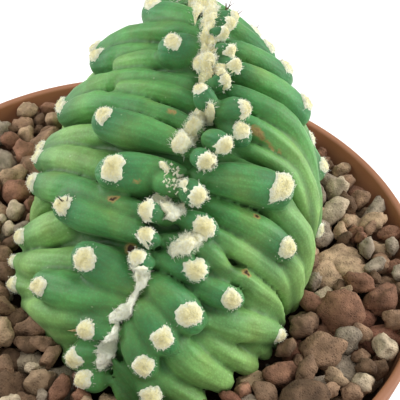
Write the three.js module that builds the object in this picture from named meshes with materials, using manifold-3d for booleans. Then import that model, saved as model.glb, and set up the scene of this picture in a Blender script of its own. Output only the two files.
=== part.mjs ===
// Potted crested golden easter lily cactus, in millimetres, +Z up.
// The origin is the middle of the pot's underside. The crest runs from front (-Y) to back (+Y).
//
// A crested cactus has a growing line in place of a growing point. Its ribs hang down from that
// line on both flanks, as chains of fleshy tubercles that each end in a woolly cushion (areole).
// A place on the plant is told by two values: how far along the crest its rib starts, in
// millimetres from the front end, and what share of the way down the flank it lies, 0 to 1.

import * as THREE from "three";
import { mergeVertices } from "three/addons/utils/BufferGeometryUtils.js";
import Module from "manifold-3d";

const wasm = await Module();
wasm.setup();

// Pot
const POT_HEIGHT = 112;
const RIM_RADIUS = 65;
const BASE_RADIUS = 45;
const BASE_CHAMFER = 1.2;
const SHOULDER_HEIGHT = 90;
const SHOULDER_RADIUS = 60.8;
const LIP_FOOT_RADIUS = 63.2;
const RIM_ROUND = 0.7;
const WALL = 2.2;
const FLOOR = 2.6;
const DRAIN_HOLES = 6;
const DRAIN_RADIUS = 4;
const DRAIN_CIRCLE = 32;
const DRAIN_SIDES = 12;
const POT_SIDES = 40;

// Filling
const CLEARANCE = 0.3;
const HOLE_GROWTH = 0.8;   // how much larger than the stem its hole in the gravel is
const GRAVEL_DEPTH_BELOW_RIM = 7;
const GRAVEL_THICKNESS = 10;
const NECK_RADIUS = 17;
const NECK_TOP_BELOW_RIM = 15;
const NECK_DEPTH_BELOW_RIM = 42;
const NECK_HOLE_SIDES = 40;
const STONE_RADIUS_LEAST = 4.2;
const STONE_RADIUS_MOST = 6.6;
const STONE_TRIES = 4000;
const STONE_SPACING = 0.72;
const STONE_SINK = 0.1;
const STONE_SEED = 18;
const STONE_SIZE_BIAS = 1.6;     // above 1, small stones are the more common
const STONE_BREADTH = 0.82;
const STONE_FLATTEST = 0.7;
const STONE_MARGIN = 0.4;
const STONE_REACH = 1.15;        // how far a stone may reach, in radii

// Crest line, front to back: right of the pot's axis, behind it, above the rim
const CREST = [
  [-6, -43, 2],
  [-3, -40, 9.5],
  [1, -35, 17.5],
  [2.5, -27, 23],
  [5.5, -20, 29],
  [11, -10, 36],
  [12.5, 2, 42],
  [10, 15, 48],
  [7.5, 28, 47],
  [5.5, 38, 46],
  [5, 45, 33],
  [4.5, 48, 16.5],
];

const CREST_DIVISIONS = 400;

// Heart of the plant, which the flanks curve round, and the body's radius at the gravel
// every 30 degrees round it, counted from +X towards +Y
const HEART = [5.5, 4, -4];
const FOOT_RADII = [30, 28, 37, 49, 52, 36, 33, 38.5, 42, 50, 42, 35];

// How far apart the places are that a direction on a flank is worked out from: millimetres
// along the crest, and share of the way down
const NORMAL_STEP = 0.5;
const NORMAL_SHARE = 0.02;

// Where each flank's ribs reach the gravel: millimetres along the crest, then degrees from +X
const LEFT_HEADINGS = [
  [0, -112], [8, -128], [20, -150], [37, -176], [60, -203], [90, -232], [115, -252], [138, -268],
];
const RIGHT_HEADINGS = [
  [0, -95], [8, -80], [20, -62], [35, -45], [50, -30], [70, -14], [100, 28], [138, 88],
];

// Ribs as chains of tubercles. A chain is a list of stops: millimetres along the crest, share
// of the way down, radius, then the width and length of the areole there, if it has one.
const LEFT_RIBS = [
  [[0.5, 0.06, 3], [0.3, 0.25, 4, 4], [2, 0.98, 4]],
  [[6, 0.04, 3], [5, 0.37, 4, 4.2], [6.5, 0.98, 4]],
  [[12, 0.03, 2.6], [13, 0.22, 3.4, 4], [10.4, 0.61, 4], [10.5, 1, 4]],
  [[16, 0.05, 3], [13.9, 0.71, 4.4], [14.5, 1, 4]],
  [[18.5, 0.04, 3.5], [22.5, 0.49, 5, 4.2], [20.9, 0.87, 4.6, 3.6], [21, 1.04, 4.2]],
  [[26.5, 0, 2.6], [27.4, 0.02, 3, 4.2]],
  [[21.5, 0.02, 3.6], [27.5, 0.23, 4.8, 5], [27.2, 0.65, 4.4], [26.6, 0.88, 4.2, 3], [27, 1.04, 4]],
  [[30.5, 0, 2.6], [32.2, 0.02, 3, 4.4], [38.1, 0.36, 4.7, 4.2], [33.3, 0.71, 4.8, 4], [33, 1.02, 4.2]],
  [[35.5, 0, 2.4], [36.7, 0.051, 3.2, 4.4], [45.2, 0.61, 4.2, 4], [40, 0.98, 4.2]],
  [[42, 0, 2.6], [43.6, 0.061, 3.6]],
  [[46.1, 0.03, 3.8], [44.6, 0.2, 5.1, 4.8, 6], [51.8, 0.65, 4.4, 3.6], [47, 0.95, 4.2]],
  [[50, 0.01, 2.6], [51.9, 0.08, 3.4, 4.4], [54.1, 0.29, 4.4, 4], [54.5, 0.67, 4.2, 3.6], [52, 1, 4]],
  [[56.2, 0.031, 3], [61.5, 0.57, 4, 3.6], [59, 0.95, 4]],
  [[60.5, 0, 2.6], [62.1, 0.035, 3.6, 3.6]],
  [[62, 0.062, 3], [62, 0.31, 3.2]],
  [[65.2, 0.081, 3.4], [65.3, 0.62, 4.4, 3.4], [65, 0.95, 4]],
  [[69, 0, 3], [68.1, 0.04, 3.8, 4.4]],
  [[69.8, 0.095, 3], [69.5, 0.35, 3.6]],
  [[74.9, 0.02, 3.6], [71.7, 0.12, 5, 4.4], [74, 0.45, 4.2, 4], [74, 0.9, 4]],
  [[78.8, 0.02, 3], [80, 0.5, 4.2, 3.6], [81, 0.95, 4]],
  [[84.4, 0.02, 3.4], [86.5, 0.22, 4.8, 4], [89, 0.62, 4.4, 3.6], [90, 1, 4]],
];
const RIGHT_RIBS = [
  [[1.6, 0.05, 3], [4.7, 0.4, 4.4, 4], [5.5, 0.93, 4]],
  [[7.5, 0.03, 2.8], [10.8, 0.31, 4.4, 4.2], [10.2, 0.58, 4.4], [11.2, 0.95, 4]],
  [[13.5, 0.05, 3], [17.3, 0.26, 4.8, 4.4], [15.8, 0.56, 6], [16.6, 0.9, 4.4]],
  [[20.1, 0.45, 3], [20.8, 0.71, 3.8], [21, 0.97, 4]],
  [[19, 0.04, 3.4], [24.3, 0.32, 5.2, 5.2], [24.6, 0.62, 4.2], [24.3, 0.98, 4]],
  [[27, 0.06, 3], [32.6, 0.47, 4.2, 4.2], [33.5, 0.89, 4.8, 3.2], [33.5, 1.04, 4]],
  [[28.5, 0.04, 2.8], [32.3, 0.25, 3.6, 4.6], [38, 0.5, 3.3], [40.1, 0.79, 3.1], [39, 1.02, 3]],
  [[34.5, 0.45, 1.8], [37, 0.75, 2], [36.5, 1.01, 2.2]],
  [[33, 0.07, 3], [34.7, 0.15, 3.2, 3.6, 6]],
  [[38, 0.05, 2.6], [39.6, 0.18, 3.3, 4.6], [43.1, 0.47, 3.3], [46.6, 0.78, 3.1], [45, 1.02, 3]],
  [[35.5, 0, 2.4], [37, 0.035, 2.8, 4]],
  [[43.5, 0.02, 2.6], [43, 0.094, 3.2, 4.6]],
  [[44, 0.12, 3.6], [49.3, 0.52, 4.5, 4.4], [50.6, 0.75, 3.8], [49, 1.02, 3.4]],
  [[50.5, 0, 2.4], [49, 0.048, 2.9, 4.4]],
  [[47.5, 0.06, 4], [56.9, 0.34, 5.2, 4.8, 7.6], [59, 0.65, 4], [56, 1, 3.4]],
  [[55, 0.02, 2.4], [54.1, 0.082, 3.4, 4.2]],
  [[55.6, 0.13, 2.4], [59, 0.34, 2.8], [62.5, 0.67, 3]],
  [[60.5, 0.038, 2.4], [59.9, 0.12, 3.2, 4.2]],
  [[60.2, 0.15, 2.8], [65.3, 0.43, 3.3], [67.5, 0.73, 3.4], [64, 1, 3.3]],
  [[61, 0.01, 3], [63.6, 0.11, 3.8, 4.2], [68.8, 0.37, 3.4], [70.5, 0.65, 3.5], [69, 0.95, 3.4]],
  [[67, 0, 2.6], [66.4, 0.056, 3.1, 3.8]],
  [[69.3, 0.095, 3.8], [72.8, 0.3, 4.3], [75, 0.57, 3.8], [73.5, 0.8, 4, 3.6], [73, 1.03, 3.6]],
  [[72, 0.01, 2.4], [71.5, 0.077, 3, 4]],
  [[75.4, 0.1, 3.6], [81, 0.37, 4.6, 4], [78.7, 0.58, 4.4, 3.6], [80, 0.95, 4.2]],
  [[77.5, 0, 2.2], [76.9, 0.059, 2.6, 3.4]],
  [[81, 0.01, 2.2], [80.7, 0.079, 2.6, 3.4]],
  [[84.5, 0.01, 2.4], [84.9, 0.094, 2.8, 3.4]],
  [[83.5, 0.11, 3.4], [86.5, 0.29, 4.6, 4], [89, 0.58, 4.4, 3.6], [88, 0.95, 4]],
];

// The far end, where the ribs follow an even rule
const FAR_START = 95;
const FAR_STEP = 8.5;
const FAR_STOPS = [[0.03, 3, 0], [0.26, 4.6, 4], [0.58, 4.5, 3.8], [0.98, 4.1, 0]];
const FAR_JITTER = 1.6;
const FAR_SEED = 1;

// Tubercles
const TUBE_ANGLES = [5, 47, 90, 133, 175, 270];   // corners of the section, 90 on top
const CORE_DEPTH = 4;
const CORE_STEPS = 22;
const CORE_SHARES = [0.08, 0.22, 0.4, 0.6, 0.8, 1];
const DRAWN_IN = [[0.9, 0.45], [0.66, 0.8]];   // share of the girth kept, share of the fall to the neck
const ROOT_LIFT = -2;
const TIP_LIFT = 0.8;
const TUBE_SHAPE = [[0, 0.6], [0.35, 0.88], [0.8, 1]];   // share of the length, share of the radius
const TIP_SHAPE = [0.4, 0.66];                          // radii past the areole, share of the radius
const TIP_END = 0.6;
const TUBE_START = -0.1;                                 // share of the length
const TUBE_LOOK = 0.05;                                  // share of the length, to find its direction

// Areoles, spines and the wool of the growing line
const AREOLE_HEIGHT = 0.9;
const AREOLE_LIFT = 0.3;
const AREOLE_ROOT = 2;
const AREOLE_SHOULDER = [0.72, 0.65];   // share of the width, share of the height
const AREOLE_LOOK = 0.03;               // share of the way down, to find the way down
const AREOLE_SIDES = 6;
const SPINE_EVERY = 5;
const SPINE_LENGTH = 3.6;
const SPINE_RADIUS = 0.35;
const SPINE_LEAN = 0.9;
const SPINE_TAPER = [[0.02, 1], [0.75, 0.6]];   // share of the length, share of the radius
const SPINE_LOOK = 3;
const WOOL_START = 4;
const WOOL_END_MARGIN = 4;
const WOOL_RADIUS = 1.9;
const WOOL_STEP = 4;
const WOOL_SIDES = 7;
const WOOL_TOP = -1.4;
const WOOL_TUFT_SHARE = 0.05;
const WOOL_END_TAPER = 0.6;
const WOOL_SWELL = 0.18;
const WOOL_SWELL_TURN = 2.3;   // radians from one ring to the next

const BODY_TOLERANCE = 0.4;
const TRIM_TOLERANCE = 0.2;
const STONE_TOLERANCE = 0.4;

function seededRandom(seed) {
  let state = seed;
  return () => {
    state = (state + 0x6d2b79f5) | 0;
    let t = Math.imul(state ^ (state >>> 15), 1 | state);
    t = (t + Math.imul(t ^ (t >>> 7), 61 | t)) ^ t;
    return ((t ^ (t >>> 14)) >>> 0) / 4294967296;
  };
}

// Solids

function toSolid(geometry) {
  const bare = geometry.index ? geometry.toNonIndexed() : geometry.clone();
  bare.deleteAttribute("normal");
  bare.deleteAttribute("uv");
  const merged = mergeVertices(bare, 1e-4);
  return new wasm.Manifold(new wasm.Mesh({
    numProp: 3,
    vertProperties: new Float32Array(merged.attributes.position.array),
    triVerts: new Uint32Array(merged.index.array),
  }));
}

function toGeometry(solid) {
  const mesh = solid.getMesh();
  const geometry = new THREE.BufferGeometry();
  geometry.setAttribute("position", new THREE.BufferAttribute(new Float32Array(mesh.vertProperties), 3));
  geometry.setIndex(new THREE.BufferAttribute(new Uint32Array(mesh.triVerts), 1));
  geometry.computeVertexNormals();
  return geometry;
}

function joined(solids) {
  let layer = solids;
  while (layer.length > 1) {
    const next = [];
    for (let i = 0; i < layer.length; i += 2) {
      next.push(i + 1 < layer.length ? layer[i].add(layer[i + 1]) : layer[i]);
    }
    layer = next;
  }
  return layer[0];
}

// The one large body of a solid, without the loose scraps that cutting leaves
function mainBody(solid) {
  const bodies = solid.decompose();
  bodies.sort((a, b) => b.volume() - a.volume());
  return bodies[0];
}

function fromRings(rings, startCap, endCap) {
  const sides = rings[0].length;
  const positions = [startCap, ...rings.flat(), endCap].flatMap((p) => [p.x, p.y, p.z]);
  const index = [];
  const last = 1 + rings.length * sides;
  for (let i = 0; i < sides; i += 1) {
    const j = (i + 1) % sides;
    index.push(0, 1 + j, 1 + i);
    for (let k = 0; k + 1 < rings.length; k += 1) {
      const a = 1 + k * sides;
      const b = a + sides;
      index.push(a + i, a + j, b + i, a + j, b + j, b + i);
    }
    index.push(last - sides + i, last - sides + j, last);
  }
  const geometry = new THREE.BufferGeometry();
  geometry.setAttribute("position", new THREE.BufferAttribute(new Float32Array(positions), 3));
  geometry.setIndex(index);
  return toSolid(geometry);
}

// The plant's surface

const above = ([x, y, z]) => new THREE.Vector3(x, y, z + POT_HEIGHT);
const heart = above(HEART);
const crest = new THREE.CatmullRomCurve3(CREST.map(above), false, "catmullrom", 0.5);
crest.arcLengthDivisions = CREST_DIVISIONS;
const CREST_LENGTH = crest.getLength();

function interpolate(table, value) {
  for (let i = 1; i < table.length; i += 1) {
    const [x0, y0] = table[i - 1];
    const [x1, y1] = table[i];
    if (value <= x1 || i === table.length - 1) {
      return y0 + (y1 - y0) * THREE.MathUtils.clamp((value - x0) / (x1 - x0), 0, 1);
    }
  }
  return table[0][1];
}

function footPoint(heading) {
  const count = FOOT_RADII.length;
  const turn = (((heading % 360) + 360) % 360) / 360 * count;
  const first = Math.floor(turn);
  const t = turn - first;
  const [a, b, c, d] = [-1, 0, 1, 2].map((k) => FOOT_RADII[(first + k + count) % count]);
  const radius = b + 0.5 * t * (c - a + t * (2 * a - 5 * b + 4 * c - d + t * (3 * b - a - 3 * c + d)));
  const angle = THREE.MathUtils.degToRad(heading);
  return new THREE.Vector3(radius * Math.cos(angle), radius * Math.sin(angle), 0).add(heart);
}

// The point a share of the way from the crest down a flank to the gravel
function flankPoint(side, along, share) {
  const start = THREE.MathUtils.clamp(along / CREST_LENGTH, 0, 1);
  const top = crest.getPointAt(start).sub(heart);
  const headings = side === "left" ? LEFT_HEADINGS : RIGHT_HEADINGS;
  const foot = footPoint(interpolate(headings, along)).sub(heart);
  const angle = top.angleTo(foot);
  const length = THREE.MathUtils.lerp(top.length(), foot.length(), share);
  return top.normalize().multiplyScalar(Math.sin((1 - share) * angle))
    .add(foot.normalize().multiplyScalar(Math.sin(share * angle)))
    .multiplyScalar(length / Math.sin(angle))
    .add(heart);
}

function flankNormal(side, along, share) {
  const low = THREE.MathUtils.clamp(along, NORMAL_STEP, CREST_LENGTH - NORMAL_STEP);
  const down = Math.max(share, NORMAL_SHARE);
  const across = flankPoint(side, low + NORMAL_STEP, down).sub(flankPoint(side, low - NORMAL_STEP, down));
  const descent = flankPoint(side, low, down + NORMAL_SHARE).sub(flankPoint(side, low, down - NORMAL_SHARE));
  const normal = across.cross(descent).normalize();
  const outward = flankPoint(side, low, down).sub(heart);
  return normal.dot(outward) < 0 ? normal.negate() : normal;
}

// One tubercle: a blunt finger that rises from its root to the stop that carries its areole
function tubercle(side, from, to, grow) {
  const [along0, share0] = from;
  const [along1, share1, radius] = to;
  const place = (t) => {
    const along = THREE.MathUtils.lerp(along0, along1, t);
    const share = THREE.MathUtils.lerp(share0, share1, t);
    const normal = flankNormal(side, along, share);
    const lift = THREE.MathUtils.lerp(ROOT_LIFT, TIP_LIFT, Math.min(t, 1));
    return flankPoint(side, along, share).addScaledVector(normal, lift - radius);
  };
  const length = Math.max(place(0).distanceTo(place(1)), 1);
  const steps = [...TUBE_SHAPE, [1 + TIP_SHAPE[0] * radius / length, TIP_SHAPE[1]]];
  const end = 1 + (TIP_END * radius + grow) / length;
  const rings = steps.map(([t, thickness]) => {
    const centre = place(t);
    const along = THREE.MathUtils.lerp(along0, along1, t);
    const share = THREE.MathUtils.lerp(share0, share1, t);
    const ahead = place(t + TUBE_LOOK).sub(place(t - TUBE_LOOK)).normalize();
    const up = flankNormal(side, along, share);
    const sideways = new THREE.Vector3().crossVectors(ahead, up).normalize();
    up.crossVectors(sideways, ahead);
    return TUBE_ANGLES.map((degrees) => {
      const angle = THREE.MathUtils.degToRad(degrees);
      return centre.clone()
        .addScaledVector(sideways, -(radius * thickness + grow) * Math.cos(angle))
        .addScaledVector(up, (radius * thickness + grow) * Math.sin(angle));
    });
  });
  return fromRings(rings, place(TUBE_START - grow / length), place(end));
}

// A woolly cushion: a low dome, longer than wide where two have run together
function cushion(side, [along, share, , width, length = width]) {
  const centre = flankPoint(side, along, share);
  const up = flankNormal(side, along, share);
  const down = flankPoint(side, along, share + AREOLE_LOOK).sub(centre).normalize();
  const across = new THREE.Vector3().crossVectors(down, up).normalize();
  down.crossVectors(up, across);
  const ring = (size, rise) => Array.from({ length: AREOLE_SIDES }, (_, i) => {
    const angle = i / AREOLE_SIDES * 2 * Math.PI;
    return centre.clone()
      .addScaledVector(across, size * length / 2 * Math.cos(angle))
      .addScaledVector(down, size * width / 2 * Math.sin(angle))
      .addScaledVector(up, AREOLE_LIFT + rise);
  });
  const base = centre.clone().addScaledVector(up, AREOLE_LIFT - AREOLE_ROOT);
  const crown = centre.clone().addScaledVector(up, AREOLE_LIFT + AREOLE_HEIGHT);
  const [shoulder, height] = AREOLE_SHOULDER;
  return fromRings([ring(1, -AREOLE_ROOT / 2), ring(shoulder, height * AREOLE_HEIGHT)], base, crown);
}

// Two short stiff spines that lean out of a cushion
function spines(side, [along, share]) {
  const foot = flankPoint(side, along, share);
  const up = flankNormal(side, along, share);
  const lean = flankPoint(side, along + SPINE_LOOK, share).sub(foot).normalize();
  return [-1, 1].map((turn) => {
    const tip = foot.clone()
      .addScaledVector(up, TIP_LIFT + SPINE_LENGTH)
      .addScaledVector(lean, turn * SPINE_LEAN * SPINE_LENGTH / 2);
    const ahead = tip.clone().sub(foot).normalize();
    const first = new THREE.Vector3().crossVectors(ahead, up).normalize();
    const second = new THREE.Vector3().crossVectors(ahead, first);
    const ring = (radius, t) => [0, 1, 2].map((i) => {
      const angle = i / 3 * 2 * Math.PI;
      return foot.clone().lerp(tip, t)
        .addScaledVector(first, radius * Math.cos(angle))
        .addScaledVector(second, radius * Math.sin(angle));
    });
    const rings = SPINE_TAPER.map(([t, thickness]) => ring(SPINE_RADIUS * thickness, t));
    return fromRings(rings, foot, tip);
  });
}

// The body under the tubercles, closed over the crest and drawn in to the neck in the soil
function core(grow) {
  const count = CORE_STEPS;
  const loopAt = (share) => {
    const stops = Array.from({ length: count + 1 }, (_, i) => i / count * CREST_LENGTH);
    const point = (side, along) => flankPoint(side, along, share)
      .addScaledVector(flankNormal(side, along, share), grow - CORE_DEPTH);
    const left = stops.map((along) => point("left", along));
    const right = [...stops].reverse().map((along) => point("right", along));
    return [...left, ...right];
  };
  const loops = CORE_SHARES.map(loopAt);
  const foot = loops[loops.length - 1];
  const neckTop = POT_HEIGHT - NECK_TOP_BELOW_RIM - grow;
  const drawnIn = DRAWN_IN.map(([keep, fall]) => foot.map((p) => {
    const scale = keep + (1 - keep) * grow / Math.hypot(p.x - heart.x, p.y - heart.y);
    return new THREE.Vector3(
      heart.x + (p.x - heart.x) * scale,
      heart.y + (p.y - heart.y) * scale,
      THREE.MathUtils.lerp(p.z, neckTop, fall),
    );
  }));
  const neckAt = (radius, z) => foot.map((p) => {
    const angle = Math.atan2(p.y - heart.y, p.x - heart.x);
    return new THREE.Vector3(heart.x + radius * Math.cos(angle), heart.y + radius * Math.sin(angle), z);
  });
  const neckEnd = POT_HEIGHT - NECK_DEPTH_BELOW_RIM;
  loops.push(...drawnIn, neckAt(NECK_RADIUS + grow, neckTop), neckAt(NECK_RADIUS + grow, neckEnd));
  const size = foot.length;
  const positions = [...loops.flat(), new THREE.Vector3(heart.x, heart.y, neckEnd)];
  const index = [];
  for (let i = 0; i < size; i += 1) {
    const j = (i + 1) % size;
    for (let k = 0; k + 1 < loops.length; k += 1) {
      const a = k * size;
      const b = a + size;
      index.push(a + i, a + j, b + i, a + j, b + j, b + i);
    }
    index.push((loops.length - 1) * size + i, (loops.length - 1) * size + j, loops.length * size);
  }
  for (let i = 0; i < count; i += 1) {
    const mirror = size - 1 - i;
    index.push(i, mirror, i + 1, i + 1, mirror, mirror - 1);
  }
  const geometry = new THREE.BufferGeometry();
  geometry.setAttribute("position", new THREE.BufferAttribute(
    new Float32Array(positions.flatMap((p) => [p.x, p.y, p.z])), 3));
  geometry.setIndex(index);
  return toSolid(geometry);
}

function farRibs() {
  const random = seededRandom(FAR_SEED);
  const ribs = [];
  for (let along = FAR_START; along < CREST_LENGTH; along += FAR_STEP) {
    ribs.push(FAR_STOPS.map(([share, radius, width]) => {
      const shift = (random() - 0.5) * FAR_JITTER;
      const stop = [Math.min(along + shift, CREST_LENGTH), share, radius];
      return width ? [...stop, width] : stop;
    }));
  }
  return ribs;
}

const ribsOf = {
  left: [...LEFT_RIBS, ...farRibs()],
  right: [...RIGHT_RIBS, ...farRibs()],
};

// The bare body, made larger all round by a growth for cutting its hole in the gravel
function body(grow) {
  const pieces = [core(grow)];
  for (const [side, ribs] of Object.entries(ribsOf)) {
    for (const rib of ribs) {
      for (let i = 1; i < rib.length; i += 1) {
        pieces.push(tubercle(side, rib[i - 1], rib[i], grow));
      }
    }
  }
  return joined(pieces).asOriginal().simplify(BODY_TOLERANCE);
}

function areoles() {
  const stops = [];
  for (const [side, ribs] of Object.entries(ribsOf)) {
    for (const rib of ribs) {
      for (const stop of rib) {
        if (stop.length > 3) {
          stops.push([side, stop]);
        }
      }
    }
  }
  return stops;
}

const onCrest = ([, stop]) => stop[1] < WOOL_TUFT_SHARE;

// The felted band on the growing line, with the young areoles that have run into it
function crestWool(grow) {
  const rings = [];
  const start = WOOL_START - grow;
  const end = CREST_LENGTH - WOOL_END_MARGIN + grow;
  const count = Math.round((end - start) / WOOL_STEP);
  const centreAt = (along) => {
    const up = flankNormal("left", along, 0).add(flankNormal("right", along, 0)).normalize();
    return crest.getPointAt(along / CREST_LENGTH).addScaledVector(up, WOOL_TOP - WOOL_RADIUS);
  };
  for (let k = 0; k <= count; k += 1) {
    const along = start + (end - start) * k / count;
    const ahead = crest.getTangentAt(along / CREST_LENGTH);
    const up = flankNormal("left", along, 0).add(flankNormal("right", along, 0)).normalize();
    const sideways = new THREE.Vector3().crossVectors(ahead, up).normalize();
    up.crossVectors(sideways, ahead);
    const isEnd = k === 0 || k === count;
    const swell = isEnd ? WOOL_END_TAPER : 1 + WOOL_SWELL * Math.sin(k * WOOL_SWELL_TURN);
    const radius = WOOL_RADIUS * swell + grow;
    rings.push(Array.from({ length: WOOL_SIDES }, (_, i) => {
      const angle = i / WOOL_SIDES * 2 * Math.PI;
      return centreAt(along)
        .addScaledVector(sideways, -radius * Math.cos(angle))
        .addScaledVector(up, radius * Math.sin(angle));
    }));
  }
  return fromRings(rings, centreAt(start - 1), centreAt(end + 1));
}

function cactusStem() {
  const cushions = areoles().filter((entry) => !onCrest(entry));
  const trim = cushions.map(([side, stop]) => cushion(side, stop));
  cushions.forEach(([side, stop], i) => {
    if (i % SPINE_EVERY === 0) {
      trim.push(...spines(side, stop));
    }
  });
  const dressed = body(0).add(joined(trim));
  return mainBody(dressed.subtract(crestWool(CLEARANCE)).asOriginal().simplify(TRIM_TOLERANCE));
}

// Pot and filling

const wallRadius = (z) => BASE_RADIUS + (SHOULDER_RADIUS - BASE_RADIUS) * z / SHOULDER_HEIGHT;
const lipRadius = (z) => LIP_FOOT_RADIUS
  + (RIM_RADIUS - LIP_FOOT_RADIUS) * (z - SHOULDER_HEIGHT) / (POT_HEIGHT - SHOULDER_HEIGHT);
const insideRadius = (z) => (z < SHOULDER_HEIGHT + WALL ? wallRadius(z) : lipRadius(z)) - WALL;

function turned(profile, sides) {
  const geometry = new THREE.LatheGeometry(profile.map(([r, z]) => new THREE.Vector2(r, z)), sides);
  geometry.rotateX(Math.PI / 2);
  return toSolid(geometry);
}

function pot() {
  const ledge = SHOULDER_HEIGHT + WALL;
  const shell = turned([
    [0, 0],
    [BASE_RADIUS - BASE_CHAMFER, 0],
    [wallRadius(BASE_CHAMFER), BASE_CHAMFER],
    [SHOULDER_RADIUS, SHOULDER_HEIGHT],
    [LIP_FOOT_RADIUS, SHOULDER_HEIGHT],
    [RIM_RADIUS, POT_HEIGHT - RIM_ROUND],
    [RIM_RADIUS - RIM_ROUND, POT_HEIGHT],
    [RIM_RADIUS - WALL + RIM_ROUND, POT_HEIGHT],
    [RIM_RADIUS - WALL, POT_HEIGHT - RIM_ROUND],
    [lipRadius(ledge) - WALL, ledge],
    [wallRadius(ledge) - WALL, ledge],
    [wallRadius(FLOOR) - WALL, FLOOR],
    [0, FLOOR],
  ], POT_SIDES);
  const drills = Array.from({ length: DRAIN_HOLES }, (_, i) => {
    const angle = i / DRAIN_HOLES * 2 * Math.PI;
    const drill = new THREE.CylinderGeometry(DRAIN_RADIUS, DRAIN_RADIUS, 4 * FLOOR, DRAIN_SIDES);
    drill.rotateX(Math.PI / 2);
    drill.translate(DRAIN_CIRCLE * Math.cos(angle), DRAIN_CIRCLE * Math.sin(angle), FLOOR);
    return toSolid(drill);
  });
  return shell.subtract(joined(drills));
}

const GRAVEL_TOP = POT_HEIGHT - GRAVEL_DEPTH_BELOW_RIM;
const GRAVEL_BOTTOM = GRAVEL_TOP - GRAVEL_THICKNESS;

function pottingMix() {
  const top = GRAVEL_BOTTOM - CLEARANCE;
  const bottom = FLOOR + CLEARANCE;
  const ledge = SHOULDER_HEIGHT + WALL + CLEARANCE;
  const plug = turned([
    [0, bottom],
    [wallRadius(bottom) - WALL - CLEARANCE, bottom],
    [wallRadius(ledge) - WALL - CLEARANCE, ledge],
    [lipRadius(ledge) - WALL - CLEARANCE, ledge],
    [lipRadius(top) - WALL - CLEARANCE, top],
    [0, top],
  ], POT_SIDES);
  const depth = NECK_DEPTH_BELOW_RIM + CLEARANCE;
  const radius = NECK_RADIUS + 2 * CLEARANCE;
  const hole = new THREE.CylinderGeometry(radius, radius, depth, NECK_HOLE_SIDES);
  hole.rotateX(Math.PI / 2);
  hole.translate(heart.x, heart.y, POT_HEIGHT - depth / 2);
  return plug.subtract(toSolid(hole));
}

// Stones scattered by dart throwing: a throw that lands too near another stone is dropped
function stones() {
  const random = seededRandom(STONE_SEED);
  const placed = [];
  for (let i = 0; i < STONE_TRIES; i += 1) {
    const radius = THREE.MathUtils.lerp(STONE_RADIUS_LEAST, STONE_RADIUS_MOST, random() ** STONE_SIZE_BIAS);
    const far = insideRadius(GRAVEL_TOP) - CLEARANCE - STONE_REACH * radius - STONE_MARGIN;
    const distance = Math.sqrt(random()) * far;
    const angle = random() * 2 * Math.PI;
    const x = distance * Math.cos(angle);
    const y = distance * Math.sin(angle);
    const clear = placed.every((s) => Math.hypot(s.x - x, s.y - y) > STONE_SPACING * (s.radius + radius));
    const fromStem = Math.hypot(x - heart.x, y - heart.y);
    const heading = THREE.MathUtils.radToDeg(Math.atan2(y - heart.y, x - heart.x));
    const stem = footPoint(heading).sub(heart).length();
    if (clear && fromStem > stem - radius) {
      const turn = [random(), random(), random()];
      placed.push({ x, y, radius, turn, flat: THREE.MathUtils.lerp(STONE_FLATTEST, 1, random()) });
    }
  }
  return placed.map((stone) => {
    const lump = new THREE.IcosahedronGeometry(stone.radius, 0);
    lump.scale(1, STONE_BREADTH, stone.flat);
    lump.applyMatrix4(new THREE.Matrix4().makeRotationFromEuler(
      new THREE.Euler(...stone.turn.map((t) => t * 2 * Math.PI))));
    lump.translate(stone.x, stone.y, GRAVEL_TOP + STONE_SINK * stone.radius);
    return toSolid(lump);
  });
}

function gravelDressing() {
  const bed = turned([
    [0, GRAVEL_BOTTOM],
    [insideRadius(GRAVEL_BOTTOM) - CLEARANCE, GRAVEL_BOTTOM],
    [insideRadius(GRAVEL_TOP) - CLEARANCE, GRAVEL_TOP],
    [0, GRAVEL_TOP],
  ], POT_SIDES);
  const heap = bed.add(joined(stones())).asOriginal().simplify(STONE_TOLERANCE);
  return mainBody(heap.subtract(body(HOLE_GROWTH)).asOriginal().simplify(TRIM_TOLERANCE));
}

// Scene graph

function node(name, solid, colour, roughness) {
  const material = new THREE.MeshStandardMaterial({ color: colour, roughness, metalness: 0 });
  material.name = name;
  const mesh = new THREE.Mesh(toGeometry(solid), material);
  mesh.name = name;
  return mesh;
}

const group = new THREE.Group();
group.name = "potted_crested_cactus";
group.add(
  node("pot", pot(), 0xbf8a68, 0.6),
  node("potting_mix", pottingMix(), 0x3a2c20, 0.95),
  node("gravel_dressing", gravelDressing(), 0x8a6b52, 0.9),
  node("cactus_stem", cactusStem(), 0x4f8f55, 0.5),
  node("crest_wool", crestWool(0), 0xe2dac2, 0.95),
);

export default group;
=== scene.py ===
"""Visual model of a crested golden easter lily cactus in its pot.

Sizes and places are in millimetres, +Z up, with the origin in the middle of the pot's
underside. They become metres where a mesh is made. A place on the plant is told by its
flank, by how far along the crest its rib starts, and by its share of the way down the
flank, from 0 on the crest to 1 at the gravel.
"""

import logging
import math
from dataclasses import dataclass, field
from enum import Enum

import bmesh
import bpy
import numpy as np
from mathutils import Matrix, Quaternion, Vector
from mathutils.bvhtree import BVHTree


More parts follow.
